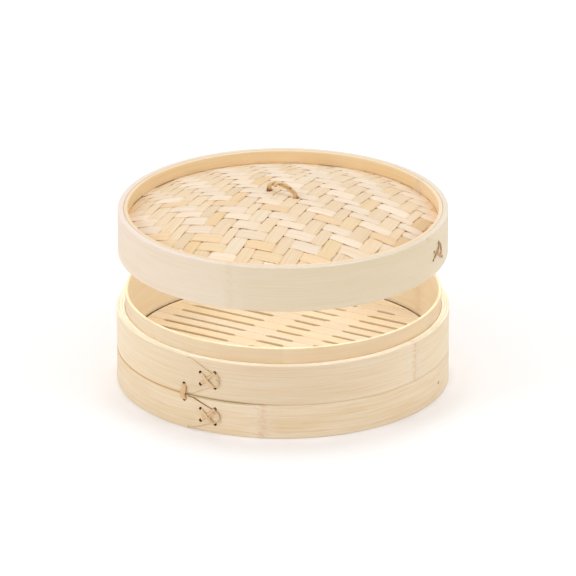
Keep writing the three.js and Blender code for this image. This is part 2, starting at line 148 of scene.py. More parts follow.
BAND_TINT = srgb("feefd6")
BAND_FRONT_TINT = srgb("e9d5b8")
LOWER_TINT = srgb("f4e2c8")
LID_TINT = srgb("ebdcc1")
LID_LEFT_TINT = srgb("f0dfcb")
# Planed tops are paler; on the ledge under the lid this pale tint is also painted highlight
PLANED_AND_PAINTED_LIGHT_TINT = srgb("fdfaee")
RIM_TINT = srgb("f9e1b9")
SPIGOT_TOP_TINT = srgb("f4e6c8")
LID_TOP_TINT = srgb("efe3d1")
LID_HOOP_TOP_TINT = srgb("fbe4c6")
HOOP_TINT = srgb("ead2ae")
HOOP_LEFT_TINT = srgb("f1dec4")
INSIDE_TINT = srgb("f8edd8")
# Painted shade: dark brown for the support hoop and the inner hoop's inside below the floor, in the gap round
# the floor
GAP_PAINTED_SHADE_TINT = srgb("80602f")
SLAT_TINT = srgb("f7ebd4")
SPLINT_TINT = srgb("f9e7d2")
PEACH_TINT = srgb("f4d8b2")
GOLDEN_TINT = srgb("f2dab4")
CROSS_TINT = srgb("f0dabb")
BROWN_TINT = srgb("edcfa4")
CREAM_TINT = srgb("f4e3c9")
TAN_TINT = srgb("edd4ac")
# Partly the leaf's own brown, partly painted shade seen through the holes in the weave
LEAF_AND_PAINTED_SHADE_TINT = srgb("7a4a1c")
LACE_TINT = srgb("ecd0a9")
TIE_TINT = srgb("e7c59b")
LID_CANE_TINT = srgb("d0ab88")
DARK_CANE_TINT = srgb("c8a47c")
NAIL_TINT = srgb("cfa47c")
LOOP_TINT = srgb("edcfa3")
HOLE_COLOUR = srgb("a4641e")


def polar(radius, azimuth, height):
    """Points in millimetres at a radius, an azimuth and a height."""
    radius, azimuth, height = np.broadcast_arrays(radius, azimuth, height)
    return np.stack([radius * np.sin(azimuth), -radius * np.cos(azimuth), height], -1)


def turned(points, angle):
    """Points turned about the upright axis."""
    c, s = math.cos(angle), math.sin(angle)
    return points @ np.array([[c, s, 0], [-s, c, 0], [0, 0, 1]])


def smoothstep(low, high, value):
    t = np.clip((value - low) / (high - low), 0, 1)
    return t * t * (3 - 2 * t)


def unit(vectors):
    return vectors / np.linalg.norm(vectors, axis=-1, keepdims=True)


def dot(a, b):
    return np.einsum("ij,ij->i", a, b)


def circle(count, radius=1.0, other_radius=None):
    """Points evenly spaced round a circle or an ellipse: their places along its two axes."""
    angles = np.linspace(0, TURN, count, endpoint=False)
    return radius * np.cos(angles), (other_radius or radius) * np.sin(angles)


def travelled(points):
    """How far along a line through points each of them lies."""
    return np.concatenate([[0], np.cumsum(np.linalg.norm(np.diff(points, axis=0), axis=1))])


def around(profile):
    """How far round a closed profile each of its points lies, and the whole way round."""
    return travelled([*profile, profile[0]])


def drifted(tints, azimuths, drift, sharpness):
    """Tints for rows at azimuths, mixed with a second tint about the azimuth where that is purest."""
    other, purest = drift
    share = ((1 + np.cos(azimuths - purest)) / 2)[:, None, None] ** sharpness
    return tints * (1 - share) + np.array(other) * share


# Pieces


def in_scene(name, data):
    """A new object in the scene."""
    made = bpy.data.objects.new(name, data)
    bpy.context.collection.objects.link(made)
    return made


class Shape:
    """The points, faces, grain coordinates and tints of one piece, collected from lofts."""

    def __init__(self):
        self.points, self.faces, self.grain, self.tints, self.shades = [], [], [], [], []
        self.count = 0

    def loft(self, grid, tint, along=None, across=None, closed=False, leap=0.0, shade=1.0):
        """Rows of closed rings. along is the grain's place for each row and across for each ring point, with
        one more where either comes round. leap moves the grain along for single faces."""
        grid = np.asarray(grid)
        rows, ring = grid.shape[:2]
        last = rows if closed else rows - 1
        r, c = np.meshgrid(np.arange(last), np.arange(ring), indexing="ij")
        along = np.arange(rows) if along is None else along
        across = np.broadcast_to(np.arange(ring + 1) if across is None else across, (last + 1, ring + 1))
        places = ((r, c), (r, c + 1), (r + 1, c + 1), (r + 1, c))
        quads = np.stack([(a % rows) * ring + b % ring for a, b in places], -1).reshape(-1, 4)
        grain = np.stack([np.stack([along[a] + leap, across[a, b]], -1) for a, b in places], -2)
        grain = grain.reshape(-1, 4, 2)
        points = grid.reshape(-1, 3)
        p = (points - points.mean(0))[quads]
        volume = dot(p[:, 0], np.cross(p[:, 1], p[:, 2]) + np.cross(p[:, 2], p[:, 3])).sum()
        ends = [] if closed else [np.arange(ring)[::-1], (rows - 1) * ring + np.arange(ring)]
        if volume < 0:
            quads, grain, ends = quads[:, ::-1], grain[:, ::-1], [end[::-1] for end in ends]
        self.faces += (quads + self.count).tolist() + [(end + self.count).tolist() for end in ends]
        self.grain.append(grain.reshape(-1, 2))
        for end in ends:
            self.grain.append(np.stack([np.full(ring, along[end[0] // ring]), across[0, end % ring]], -1))
        self.points.append(points)
        self.tints.append(np.broadcast_to(tint, grid.shape).reshape(-1, 3))
        self.shades.append(np.broadcast_to(shade, grid.shape).reshape(-1, 3))
        self.count += len(points)
        return self

    def object(self, name, material):
        mesh = bpy.data.meshes.new(name)
        mesh.from_pydata((np.concatenate(self.points) * MM).tolist(), [], self.faces)
        grain = np.concatenate(self.grain).astype(np.float32)
        mesh.uv_layers.new(name="grain").data.foreach_set("uv", grain.ravel())
        for layer, parts in (("tint", self.tints), ("shade", self.shades)):
            colours = mesh.color_attributes.new(layer, "FLOAT_COLOR", "POINT").data
            values = np.insert(np.concatenate(parts), 3, 1.0, axis=1).astype(np.float32)
            colours.foreach_set("color", values.ravel())
        mesh.materials.append(material)
        return in_scene(name, mesh)


def heal_tints(mesh):
    """Gives the new points of a cut, which come out white, the tint of the points beside them."""
    colours = np.empty((len(mesh.vertices), 4), np.float32)
    mesh.color_attributes["tint"].data.foreach_get("color", colours.ravel())
    edges = np.empty((len(mesh.edges), 2), np.int32)
    mesh.edges.foreach_get("vertices", edges.ravel())
    new = (colours[:, :3] > 0.999).all(1)
    healed = new
    while healed.any():
        total = np.zeros_like(colours)
        for a, b in (edges.T, edges.T[::-1]):
            known = ~new[b]
            np.add.at(total, a[known], colours[b[known]])
        healed = new & (total[:, 3] > 0)
        colours[healed] = total[healed] / total[healed, 3:]
        new = new & ~healed
    mesh.color_attributes["tint"].data.foreach_set("color", colours.ravel())


def cut(piece, cutter):
    """Takes the cutter out of a piece for good."""
    hollow = piece.modifiers.new("hollow", "BOOLEAN")
    hollow.object = cutter
    hollow.operation = "DIFFERENCE"
    hollow.solver = "EXACT"
    hollow.material_mode = "TRANSFER"
    made = bpy.data.meshes.new_from_object(piece.evaluated_get(bpy.context.evaluated_depsgraph_get()))
    piece.modifiers.clear()
    piece.data = made
    bpy.data.objects.remove(cutter)
    heal_tints(made)


def dressed(shape, name, material, body, node, cutters=(), sharp=38):
    """A piece that stands for a CAD node on a body: a shape less its cutters, smooth but for sharp edges."""
    piece = shape.object(name, material)
    for cutter in cutters:
        cut(piece, cutter)
    piece.data.shade_smooth()
    piece.data.set_sharp_from_angle(angle=math.radians(sharp))
    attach(piece, body)
    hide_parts(node)
    return piece


# Materials


def cleared(owner):
    """The node tree of a material or a world, with nothing in it yet."""
    owner.use_nodes = True
    owner.node_tree.nodes.clear()
    return owner.node_tree


def add(tree, kind, inputs=None, **settings):
    """A shader node with its settings, and its inputs linked or set."""
    node = tree.nodes.new("ShaderNode" + kind)
    for key, value in settings.items():
        setattr(node, key, value)
    for key, value in (inputs or {}).items():
        if isinstance(value, bpy.types.NodeSocket):
            tree.links.new(value, node.inputs[key])
        else:
            node.inputs[key].default_value = value
    return node


def new_material(name):
    """A material and its node tree."""
    made = bpy.data.materials.new(name)
    return made, cleared(made)


def surfaced(tree, surface):
    """Gives a material a surface with these inputs."""
    add(tree, "OutputMaterial", {0: add(tree, "BsdfPrincipled", surface).outputs[0]})


def calc(tree, operation, *values):
    return add(tree, "Math", dict(enumerate(values)), operation=operation).outputs[0]


def span(tree, value, low, high, to_low=0.0, to_high=1.0):
    """A value eased from one range to another."""
    inputs = {"Value": value, "From Min": low, "From Max": high, "To Min": to_low, "To Max": to_high}
    return add(tree, "MapRange", inputs, interpolation_type="SMOOTHSTEP").outputs[0]


def mixed(tree, factor, a, b, blend="MIX"):
    return add(tree, "Mix", {0: factor, 6: a, 7: b}, data_type="RGBA", blend_type=blend).outputs[2]


def multiplied(tree, factor, a, b):
    return mixed(tree, factor, a, b, "MULTIPLY")


def noise(tree, place, length, width, seed, detail=2.0, roughness=0.5):
    """Noise drawn out along the grain: length along it and width across it, in millimetres."""
    along, across = place
    vector = {0: calc(tree, "DIVIDE", along, length), 1: calc(tree, "DIVIDE", across, width), 2: seed}
    inputs = {"Vector": add(tree, "CombineXYZ", vector).outputs[0], "Scale": 1.0}
    return add(tree, "TexNoise", {**inputs, "Detail": detail, "Roughness": roughness}).outputs[0]


def culm_node(tree, place, mark, seed, depth, scar, colour, height):
    """The pits, specks and ragged line of a culm node, laid over a colour and a height."""
    ragged = noise(tree, place, 40.0, 5.0, seed + 5)
    off = calc(tree, "MULTIPLY_ADD", ragged, 4.0, calc(tree, "SUBTRACT", place[0], mark + 2.0))
    distance = calc(tree, "ABSOLUTE", off)
    near = span(tree, distance, 0.4, 6.0, 1.0, 0.0)
    halo = span(tree, distance, 2.0, 14.0, 1.0, 0.0)
    pits = span(tree, noise(tree, place, 3.6, 0.75, seed + 6), 0.46, 0.62)
    dashes = span(tree, noise(tree, place, 6.0, 0.6, seed + 7, 1.0), 0.56, 0.68)
    dots = span(tree, noise(tree, place, 30.0, 1.1, seed + 9, 0.0), 0.42, 0.6)
    spots = calc(tree, "MULTIPLY", near, pits)
    specks = calc(tree, "MULTIPLY", halo, dashes)
    line = calc(tree, "MULTIPLY", span(tree, distance, 0.3, 1.2, scar, 0.0), dots)
    colour = multiplied(tree, span(tree, off, -2.5, 2.5), colour, (0.965, 0.955, 0.92, 1))
    colour = mixed(tree, calc(tree, "MULTIPLY", halo, 0.45), colour, (0.85, 0.74, 0.58, 1))
    for pattern, strength, stain in (
        (near, 0.15, (0.93, 0.88, 0.8, 1)),
        (spots, depth, (0.95, 0.79, 0.64, 1)),
        (specks, depth, (0.94, 0.72, 0.56, 1)),
        (line, 1.0, (0.87, 0.75, 0.55, 1)),
    ):
        colour = multiplied(tree, calc(tree, "MULTIPLY", pattern, strength), colour, stain)
    swell = calc(tree, "SUBTRACT", calc(tree, "MULTIPLY", near, 0.7), spots)
    return colour, calc(tree, "ADD", height, swell)


def bamboo(
    name, seed, streaks, broad, flecks=0.3, wave=1.0, mark=None, mark_depth=0.5, scar=0.0, roughness=0.5,
    relief=0.35,
):
    """Split bamboo: fibres along the grain in its tint, with a culm node at the mark along it."""
    made, tree = new_material(name)
    along, across = add(tree, "SeparateXYZ", {0: add(tree, "UVMap", uv_map="grain").outputs[0]}).outputs[:2]
    sway = noise(tree, (along, across), 55.0, 14.0, seed, 1.0)
    across = calc(tree, "MULTIPLY_ADD", sway, 4.0 * wave, across)
    if mark is not None:
        across = calc(tree, "ADD", across, span(tree, along, mark - 2.5, mark + 2.5, 0.0, 1.3))
    place = (along, across)
    coarse = noise(tree, place, 70.0, 1.1, seed + 1, 3.0, 0.6)
    fine = noise(tree, place, 22.0, 0.32, seed + 2)
    cloud = noise(tree, place, 60.0, 11.0, seed + 3)
    dash = noise(tree, place, 5.5, 0.42, seed + 4, 1.0)
    lines = noise(tree, place, 90.0, 0.62, seed + 8, 1.0)

    tint, shade = (add(tree, "VertexColor", layer_name=layer).outputs[0] for layer in ("tint", "shade"))
    colour = multiplied(tree, 1.0, tint, shade)
    for pattern, low, high, strength, stain in (
        (cloud, 0.35, 0.7, broad, (0.93, 0.84, 0.68, 1)),
        (coarse, 0.42, 0.66, streaks, (0.89, 0.77, 0.56, 1)),
        (lines, 0.45, 0.65, 0.75 * streaks, (0.92, 0.84, 0.69, 1)),
        (fine, 0.5, 0.75, 0.6 * streaks, (0.88, 0.8, 0.68, 1)),
        (dash, 0.68, 0.8, flecks, (0.62, 0.45, 0.28, 1)),
    ):
        colour = multiplied(tree, span(tree, pattern, low, high, 0.0, strength), colour, stain)
    height = calc(tree, "MULTIPLY_ADD", fine, 0.35, calc(tree, "MULTIPLY", coarse, 0.65))
    if mark is not None:
        colour, height = culm_node(tree, place, mark, seed, mark_depth, scar, colour, height)
    bump = add(tree, "Bump", {"Strength": relief, "Distance": 0.00025, "Height": height})
    rough = span(tree, fine, 0.3, 0.7, roughness - 0.07, roughness + 0.08)
    surfaced(tree, {"Base Color": colour, "Roughness": rough, "Normal": bump.outputs[0]})
    return made


def burnt(name, colour):
    """The burnt wall of a drilled hole, mottled."""
    made, tree = new_material(name)
    place = add(tree, "TexCoord").outputs["Object"]
    mottle = add(tree, "TexNoise", {"Vector": place, "Scale": 900.0, "Detail": 2.0}).outputs[0]
    shade = mixed(tree, mottle, (*colour, 1), (*(0.5 * c for c in colour), 1))
    surfaced(tree, {"Base Color": shade, "Roughness": 0.8})
    return made


def arc_length(azimuth, tip, radius):
    """How far round a wall an azimuth in degrees lies, past where its grain starts."""
    return ((math.radians(azimuth) - tip) % TURN) * radius


lower_node = arc_length(LOWER_BAND_NODE, BASKET_TIP, BASKET_RADIUS)
upper_node = arc_length(UPPER_BAND_NODE, BASKET_TIP, BASKET_RADIUS)
lower_bamboo = bamboo("lower_band_bamboo", 3, 0.5, 0.45, 0.4, 1.6, lower_node, 0.75, 0.1)
upper_bamboo = bamboo("upper_band_bamboo", 11, 0.42, 0.22, 0.25, 0.6, upper_node, scar=0.7)
lid_node = arc_length(LID_NODE, LID_TIP, LID_RADIUS)
lid_bamboo = bamboo("lid_wall_bamboo", 19, 0.2, 0.16, 0.1, 0.6, lid_node, 0.35)
hoop_bamboo = bamboo("hoop_bamboo", 27, 0.26, 0.3, 0.2, 0.8, arc_length(HOOP_NODE, 0.0, HOOP_OUTER))
slat_bamboo = bamboo("slat_bamboo", 35, 0.25, 0.3, 0.25, 0.5)
splint_bamboo = bamboo("splint_bamboo", 43, 0.4, 0.35, 0.3, 0.25, relief=0.5)
lace_cane = bamboo("lace_cane", 51, 0.7, 0.3, 0.4, 0.2, roughness=0.6, relief=0.6)
loop_cane = bamboo("loop_cane", 61, 0.9, 0.5, 0.6, 0.2, roughness=0.55, relief=0.7)
hole_dark = burnt("hole_dark", HOLE_COLOUR)

# Profiles

ROUNDING_STEPS = 3
# Beside a rounding, a point this far off keeps the face flat
FLAT_FROM = 0.35


def rounded(corners):
    """A profile with its corners rounded. A corner is a place across, a height and a rounding."""
    profile = []
    for i, (r, z, size) in enumerate(corners):
        here = np.array([r, z])
        if size == 0:
            profile.append(here)
            continue
        before = unit(np.array(corners[i - 1][:2]) - here)
        after = unit(np.array(corners[(i + 1) % len(corners)][:2]) - here)
        profile.append(here + before * (size + FLAT_FROM))
        for t in np.linspace(0, 1, ROUNDING_STEPS + 1):
            profile.append(here + before * size * (1 - t) ** 2 + after * size * t**2)
        profile.append(here + after * (size + FLAT_FROM))
    return np.array(profile)


GROOVE_HALF = 0.18
GROOVE_DEPTH = 0.3
GROOVE_SHADE = (0.75, 0.6, 0.42)


def grooves(radius, height, ply, count, sign):
    """The lines between the plies of a wound band on its upper (1) or lower (-1) edge, outermost first."""
    points = []
    for k in range(1, count):
        at = radius - k * ply
        points += [(at + GROOVE_HALF, height), (at, height - sign * GROOVE_DEPTH), (at - GROOVE_HALF, height)]
    return points


def band_profile(inner, low, high, plies, face, high_face, half, edges, slit):
    """One section of a wound band, from its inner bottom corner round. face is the radius of the pared part
    and high_face of the tongue, which reaches half either side of the middle. slit is how deep the crack over
    the tongue's upper edge is."""
    start = (low + high) / 2 - half
    step = high_face - face
    ply = (high_face - inner) / plies
    bottom = rounded([(face, high, 0), (inner, high, 0.5), (inner, low, 0.5), (face, low, 0)])[1:-1]

    def outer_edge(edge):
        foot = [(face - edge - FLAT_FROM, low), (face - edge, low), (face - 0.3 * edge, low + 0.3 * edge)]
        return [*foot, (face, low + edge), (face, low + edge + 0.3)]

    def rise(crack):
        return [
            (face, start - 0.12 - crack),
            (face - crack, start),
            (high_face - min(0.2, step), start + 0.03),
            (high_face - min(0.06, step), start + 0.12),
            (high_face, start + 0.3),
        ]

    def flipped(points):
        return [(r, low + high - z) for r, z in reversed(points)]

    rows = [(high_face, (low + high) / 2 + (half - 0.3) * share) for share in (-0.5, 0, 0.5)]
    lower = grooves(high_face, low, ply, plies, -1)[::-1]
    upper = grooves(high_face, high, ply, plies, 1)
    profile = [*bottom, *lower, *outer_edge(edges[0]), *rise(0.3 * slit), *rows]
    profile += [*flipped(rise(slit)), *flipped(outer_edge(edges[1])), *upper]
    first = len(bottom) + len(lower) + 4
    return np.array(profile), slice(first, first + 2 * len(rise(0.0)) + len(rows) + 2)


def tongue_outline(half):
    """Places along a tongue, up to its tip at 0, and half its height at each."""
    taper = np.linspace(0, 1, 14)
    t = np.array([0.15, 0.3, 0.45, 0.6, 0.72, 0.82, 0.9, 0.96, 1.0])
    places = [taper * (TONGUE_LENGTH - TONGUE_TIP_LENGTH) - TONGUE_LENGTH, -TONGUE_TIP_LENGTH * (1 - t) ** 2]
    tip = TONGUE_TIP_HALF * ((1 - t) ** 2 + 2 * t * (1 - t) * TONGUE_TIP_FULLNESS)
    return np.concatenate(places), np.concatenate([half + taper * (TONGUE_TIP_HALF - half), tip])


# Wound bands

COLUMNS = 288
# Colours of the painted shade in the seam where the bands meet
OLIVE_PAINTED_SHADE = np.array([0.76, 0.74, 0.6])
GOLDEN_PAINTED_SHADE = np.array([0.89, 0.77, 0.58])
# A wound strip starts this far past its tongue's tip, and its tongue this far past the last plain section
STRIP_START = 0.2
TONGUE_START = 0.3
WIDEST_SEAM_ROUNDING = 1.2
NARROWEST_HALF = 0.34


def from_front(azimuths):
    """Degrees between half a turn to the left and half a turn to the right."""
    return np.degrees((np.asarray(azimuths) + math.pi) % TURN - math.pi)


def seam_rounding(azimuths):
    """How rounded the edges are where the bands meet: the seam gapes by the tie and closes to the right."""
    degrees = from_front(azimuths)
    return 0.4 + 0.75 * smoothstep(2, -16, degrees) * (1 - 0.45 * smoothstep(-34, -42, degrees))


def seam_painted_shade(azimuths):
    """Painted shade in the seam, which the tint is multiplied by: olive beside the tongues, golden left of
    the tie.
    """
    degrees = from_front(azimuths)[:, None, None]
    right, left = smoothstep(6, -14, degrees), smoothstep(-33, -38, degrees)
    return 1 - right * (1 - OLIVE_PAINTED_SHADE * (1 - left) - GOLDEN_PAINTED_SHADE * left)


def wound_band(
    inner, outer, low, high, tip, edge, plies, tint, step_painted_shade, top_tint, drift=None, seam=0, slit=0.0,
):
    """A band wound from one strip, whose pared end shows as a tongue with edges darkened by painted shade.
    Its planed top has a tint of its own, which on the ledge is also painted highlight. seam is which edge
    meets the other band, darkened there by painted shade: 1 the upper, -1 the lower."""
    half = (high - low) / 2
    most = half - (WIDEST_SEAM_ROUNDING if seam else edge) - 0.45
    places, heights = tongue_outline(half)
    start = STRIP_START / outer
    main = np.linspace(start, TURN - (TONGUE_LENGTH + TONGUE_START) / outer, COLUMNS - 20)
    turns = np.concatenate([main, TURN + places / outer])
    on_tongue = np.arange(len(turns)) >= len(main)
    # Before the tongue the step has no height, and its points only move apart for the place where it starts
    halves = np.clip(np.concatenate([most * main / TURN, heights]), NARROWEST_HALF, most)
    faces = outer - SCARF_STEP * (1 - turns / TURN)
    pared = np.where(on_tongue, outer - SCARF_STEP, faces)
    # The crack over the tongue is deepest at its root
    slits = slit * np.append(np.zeros(len(main)), 0.4 - 0.6 * places / TONGUE_LENGTH)
    edges = np.full((len(turns), 2), edge)
    if seam:
        edges[:, max(seam, 0)] = seam_rounding(tip + turns)
    profiles = []
    for section in zip(pared, faces, halves, edges, slits):
        profile, side = band_profile(inner, low, high, plies, *section)
        profiles.append(profile)
    radii, levels = np.moveaxis(profiles, -1, 0)
    across = np.tile(around(profiles[0]), (len(turns) + 1, 1))
    sides = np.concatenate([levels, levels[:1]])[:, side]
    across[:, side] = across[0, side.start] + sides - sides[0, 0]
    # Beside the tongue the ply beneath shows, which runs on from the band's first turn
    point = np.arange(len(profiles[0]))
    beside = (point < side.start + 2) | (point >= side.stop - 3)
    leap = np.where(on_tongue[:, None] & beside, -TURN * outer, 0.0)
    grid = polar(radii, (tip + turns)[:, None], levels)
    tints = np.broadcast_to(tint, grid.shape)
    if drift:
        tints = drifted(tints, tip + turns, drift, 3)
    shades = np.ones(grid.shape)
    # The top's own tint, which on the ledge is also painted highlight
    topmost = levels > high - 0.4
    shades[topmost] = np.array(top_tint) / tint
    shades[topmost & (levels < high - 0.2) & (radii < outer - 1.5)] *= GROOVE_SHADE
    # Painted shade on the edge where the bands meet
    if seam:
        meeting = np.abs(levels - (high if seam > 0 else low)) < edges[:, max(seam, 0), None] + 0.1
        shades = np.where(meeting[..., None], shades * seam_painted_shade(tip + turns), shades)
    # Painted shade along the tongue's upper and lower edges, in the step
    shades[len(main) :, [side.start + 2, side.start + 3, side.stop - 4, side.stop - 3]] *= step_painted_shade
    along = np.append(turns, TURN + start) * outer
    return Shape().loft(grid, tints, along, across, closed=True, leap=leap, shade=shades)


def on_wall(offsets, azimuth, radius, height):
    """Azimuths and heights of places that are given along a wall and up it from a middle."""
    return [(azimuth + along / radius, height + up) for along, up in offsets]


def drills(places, radius, outer, depth):
    """Round holes straight into a wall, each at an azimuth and a height, as one cutter."""
    shape = Shape()
    x, y = circle(20, radius)
    for azimuth, height in places:
        rows = [polar(reach, azimuth + x / outer, height + y) for reach in (outer + 2.0, outer - depth)]
        shape.loft(rows, BAND_TINT)
    return shape.object("drills", hole_dark)


LACE_HOLE_RADIUS = 1.4
LID_LACE_HOLE_RADIUS = 1.12
BAND_HOLE_DEPTH = 5.5
LID_HOLE_DEPTH = 4.3
NAIL_HOLE = (NAIL_RADIUS + 0.25, NAIL_FACE, 4.9)

tie_low, tie_high = on_wall(TIE_ENDS, *TIE)
band_hole = (LACE_HOLE_RADIUS, BASKET_RADIUS, BAND_HOLE_DEPTH)
dressed(
    wound_band(
        BAND_INNER, BASKET_RADIUS, *LOWER_BAND, BASKET_TIP, 0.7, 3, LOWER_TINT, (0.66, 0.48, 0.3),
        LOWER_TINT, seam=1, slit=0.9,
    ),
    "lower_band_wound", lower_bamboo, "basket", "lower_band",
    [
        drills([*on_wall(LACE_CORNERS, *LOWER_LACE), tie_low], *band_hole),
        drills([(NAIL_AZIMUTH, NAIL_HEIGHT)], *NAIL_HOLE),
    ],
)
dressed(
    wound_band(
        BAND_INNER, BASKET_RADIUS, *UPPER_BAND, BASKET_TIP, 0.45, 3, BAND_TINT, (0.88, 0.77, 0.58),
        PLANED_AND_PAINTED_LIGHT_TINT, drift=(BAND_FRONT_TINT, math.radians(2)), seam=-1, slit=0.3,
    ),
    "upper_band_wound", upper_bamboo, "basket", "upper_band",
    [drills([*on_wall(LACE_CORNERS, *UPPER_LACE), tie_high], *band_hole)],
)
wall = dressed(
    wound_band(
        LID_INNER, LID_RADIUS, LID_LOW, LID_HIGH, LID_TIP, 0.9, 1, LID_TINT, (0.8, 0.72, 0.6),
        LID_TOP_TINT, drift=(LID_LEFT_TINT, math.radians(-70)),
    ),
    "lid_wall_wound", lid_bamboo, "lid", "lid_wall",
    [drills(on_wall(LID_CORNERS, *LID_LACE), LID_LACE_HOLE_RADIUS, LID_RADIUS, LID_HOLE_DEPTH)],
)

# Hoops and battens


def hoop(
    node, body, radii, heights, roundings, tint=HOOP_TINT, inner_tint=INSIDE_TINT, top_tint=PLANED_AND_PAINTED_LIGHT_TINT,
    painted_shade_height=0.0, drift=None, cutters=(),
):
    """A plain hoop with a tint of its own on the inside and another on its planed top. The inside is darkened
    with painted shade up to a height. The roundings are those of its lower and its upper edges."""
    (inner, outer), (low, high), (bottom, top) = radii, heights, roundings
    corners = [(outer, low, bottom), (outer, high, top), (inner, high, top), (inner, low, bottom)]
    if painted_shade_height > low:
        corners[3:3] = [(inner, painted_shade_height + 0.3, 0), (inner, painted_shade_height - 0.3, 0)]
    profile = rounded(corners)
    inside = profile[:, 0] < inner + 0.1
    planed = profile[:, 1] > high - 0.15
    tint = np.where(planed[:, None], top_tint, np.where(inside[:, None], inner_tint, tint))
    # Painted shade on the inside below that height
    tint = np.where((inside & (profile[:, 1] < painted_shade_height))[:, None], GAP_PAINTED_SHADE_TINT, tint)
    azimuths = np.linspace(0, TURN, COLUMNS + 1)
    grid = polar(profile[None, :, 0], azimuths[:-1, None], profile[None, :, 1])
    tints = np.broadcast_to(tint, grid.shape).copy()
    if drift:
        outside = ~inside & ~planed
        tints[:, outside] = drifted(tints[:, outside], azimuths[:-1], drift, 6)
    shape = Shape().loft(grid, tints, azimuths * outer, around(profile), closed=True)
    dressed(shape, node + "_bent", hoop_bamboo, body, node, cutters)


def beam(middle, half_width, reach, low, high, tint, bevel):
    """A box with its long edges rounded, laid as the battens are: one of them, or a notch for it."""
    corners = ((1, low), (1, high), (-1, high), (-1, low))
    section = rounded([(middle + side * half_width, height, bevel) for side, height in corners])
    ends = np.array([-reach, -reach + 0.4, reach - 0.4, reach])
    centre = section.mean(0)
    flat = centre + (section - centre) * np.array([0.96, 1, 1, 0.96])[:, None, None]
    grid = np.stack([flat[..., 0], np.broadcast_to(ends[:, None], flat.shape[:2]), flat[..., 1]], -1)
    return Shape().loft(turned(grid, FLOOR_ANGLE + BATTEN_LEAN), tint, ends, around(section))


# The clamped hoop is a little wider than the CAD's, so that no light shows behind it
SNUG = 0.25
notches = []
for place in BATTEN_PLACES:
    notch = beam(place, HALF_BATTEN + GAP, BASKET_RADIUS, BATTEN_LOW - GAP, BATTEN_TOP + 2, HOOP_TINT, 0)
    notches.append(notch.object("notch", hoop_bamboo))
# The inner hoop's inside below the floor is dark brown as painted shade in the gap round the floor
hoop(
    "inner_hoop", "basket", (HOOP_INNER, HOOP_OUTER + 0.1), (HOOP_LOW, SPIGOT_TOP), (0.4, 0.75),
    top_tint=SPIGOT_TOP_TINT, painted_shade_height=25.7, drift=(HOOP_LEFT_TINT, math.radians(-60)),
)
hoop(
    "lid_upper_hoop", "lid", (LID_HOOP[0], LID_HOOP[1] + SNUG), (PANEL_EDGE[1] - 0.08, LID_HIGH),
    (0.15, 0.6), LID_TINT, RIM_TINT, LID_HOOP_TOP_TINT,
)
hoop("lid_lower_hoop", "lid", LID_HOOP, (LOWER_LID_HOOP_LOW, PANEL_EDGE[0] - GAP), (0.5, 0.4))
# The support hoop is dark brown all over as painted shade under the floor
hoop(
    "support_hoop", "basket", (SUPPORT_INNER, SUPPORT_OUTER), (HOOP_LOW, BATTEN_TOP), (0.5, 0.5),
    GAP_PAINTED_SHADE_TINT, GAP_PAINTED_SHADE_TINT, GAP_PAINTED_SHADE_TINT, cutters=notches,
)
for i, place in enumerate(BATTEN_PLACES):
    node = f"batten_{i + 1}"
    reach = math.sqrt(SUPPORT_OUTER**2 - (abs(place) + HALF_BATTEN) ** 2)
    shape = beam(place, HALF_BATTEN, reach, BATTEN_LOW, BATTEN_TOP, SLAT_TINT, 0.7)
    dressed(shape, node + "_planed", slat_bamboo, "basket", node)

# Floor slats

SLAT_ROUNDING = 0.45
# The slats' sides are darker, as painted shade in the slots between them
SLAT_SIDE_PAINTED_SHADE = (0.95, 0.88, 0.7)
chance = random.Random(7)


def slot_spans(joint):
    """The open stretches along a joint between slats."""
    reach = math.sqrt(max(0.0, (FLOOR_RADIUS - SLOT_MARGIN) ** 2 - joint**2))
    solid = HALF_BATTEN + BATTEN_MARGIN
    near, far = (place / math.cos(BATTEN_LEAN) - joint * math.tan(BATTEN_LEAN) for place in BATTEN_PLACES)
    spans = [(-reach, near - solid), (near + solid, far - solid), (far + solid, reach)]
    spans = [(max(a, -reach), min(b, reach)) for a, b in spans]
    return [(a, b) for a, b in spans if b - a > SHORTEST_SLOT]


def slat_side(joint, inward):
    """One long side of a slat as places along it and across it, with its notches."""
    line = joint + inward * GAP / 2
    end = math.sqrt(FLOOR_RADIUS**2 - line**2)
    points = [(-end, line)]
    for a, b in slot_spans(joint):
        a, b = a + chance.uniform(-1.2, 1.6), b + chance.uniform(-1.6, 1.2)
        deepest = chance.uniform(0.8, 1.15)
        lean = chance.uniform(-0.1, 0.1)
        for place, depth in (
            (a, 0), (a + 0.5, 0.45), (a + SLOT_TAPER, 0.85), (a + 3, 1 - lean),
            (b - 3, 1 + lean), (b - SLOT_TAPER, 0.85), (b - 0.5, 0.45), (b, 0),
        ):
            points.append((place, joint + inward * (GAP + deepest * depth * (SLOT_WIDTH - GAP)) / 2))
    points.append((end, line))
    return points


def floor_arc(low, high, side):
    """The floor's edge from one place across the slats to another, at its -X or +X end."""
    angles = np.linspace(math.asin(low / FLOOR_RADIUS), math.asin(high / FLOOR_RADIUS), 8)
    return [(side * FLOOR_RADIUS * math.cos(a), FLOOR_RADIUS * math.sin(a)) for a in angles]


def inset(outline, distance):
    """A closed outline moved inwards."""
    ahead = unit(np.roll(outline, -1, axis=0) - outline)
    both = ahead + np.roll(ahead, 1, axis=0)
    inward = unit(both[:, ::-1] * (-1, 1))
    share = np.clip(dot(inward, ahead[:, ::-1] * (-1, 1)), 0.5, 1)
    return outline + inward * (distance / share)[:, None]


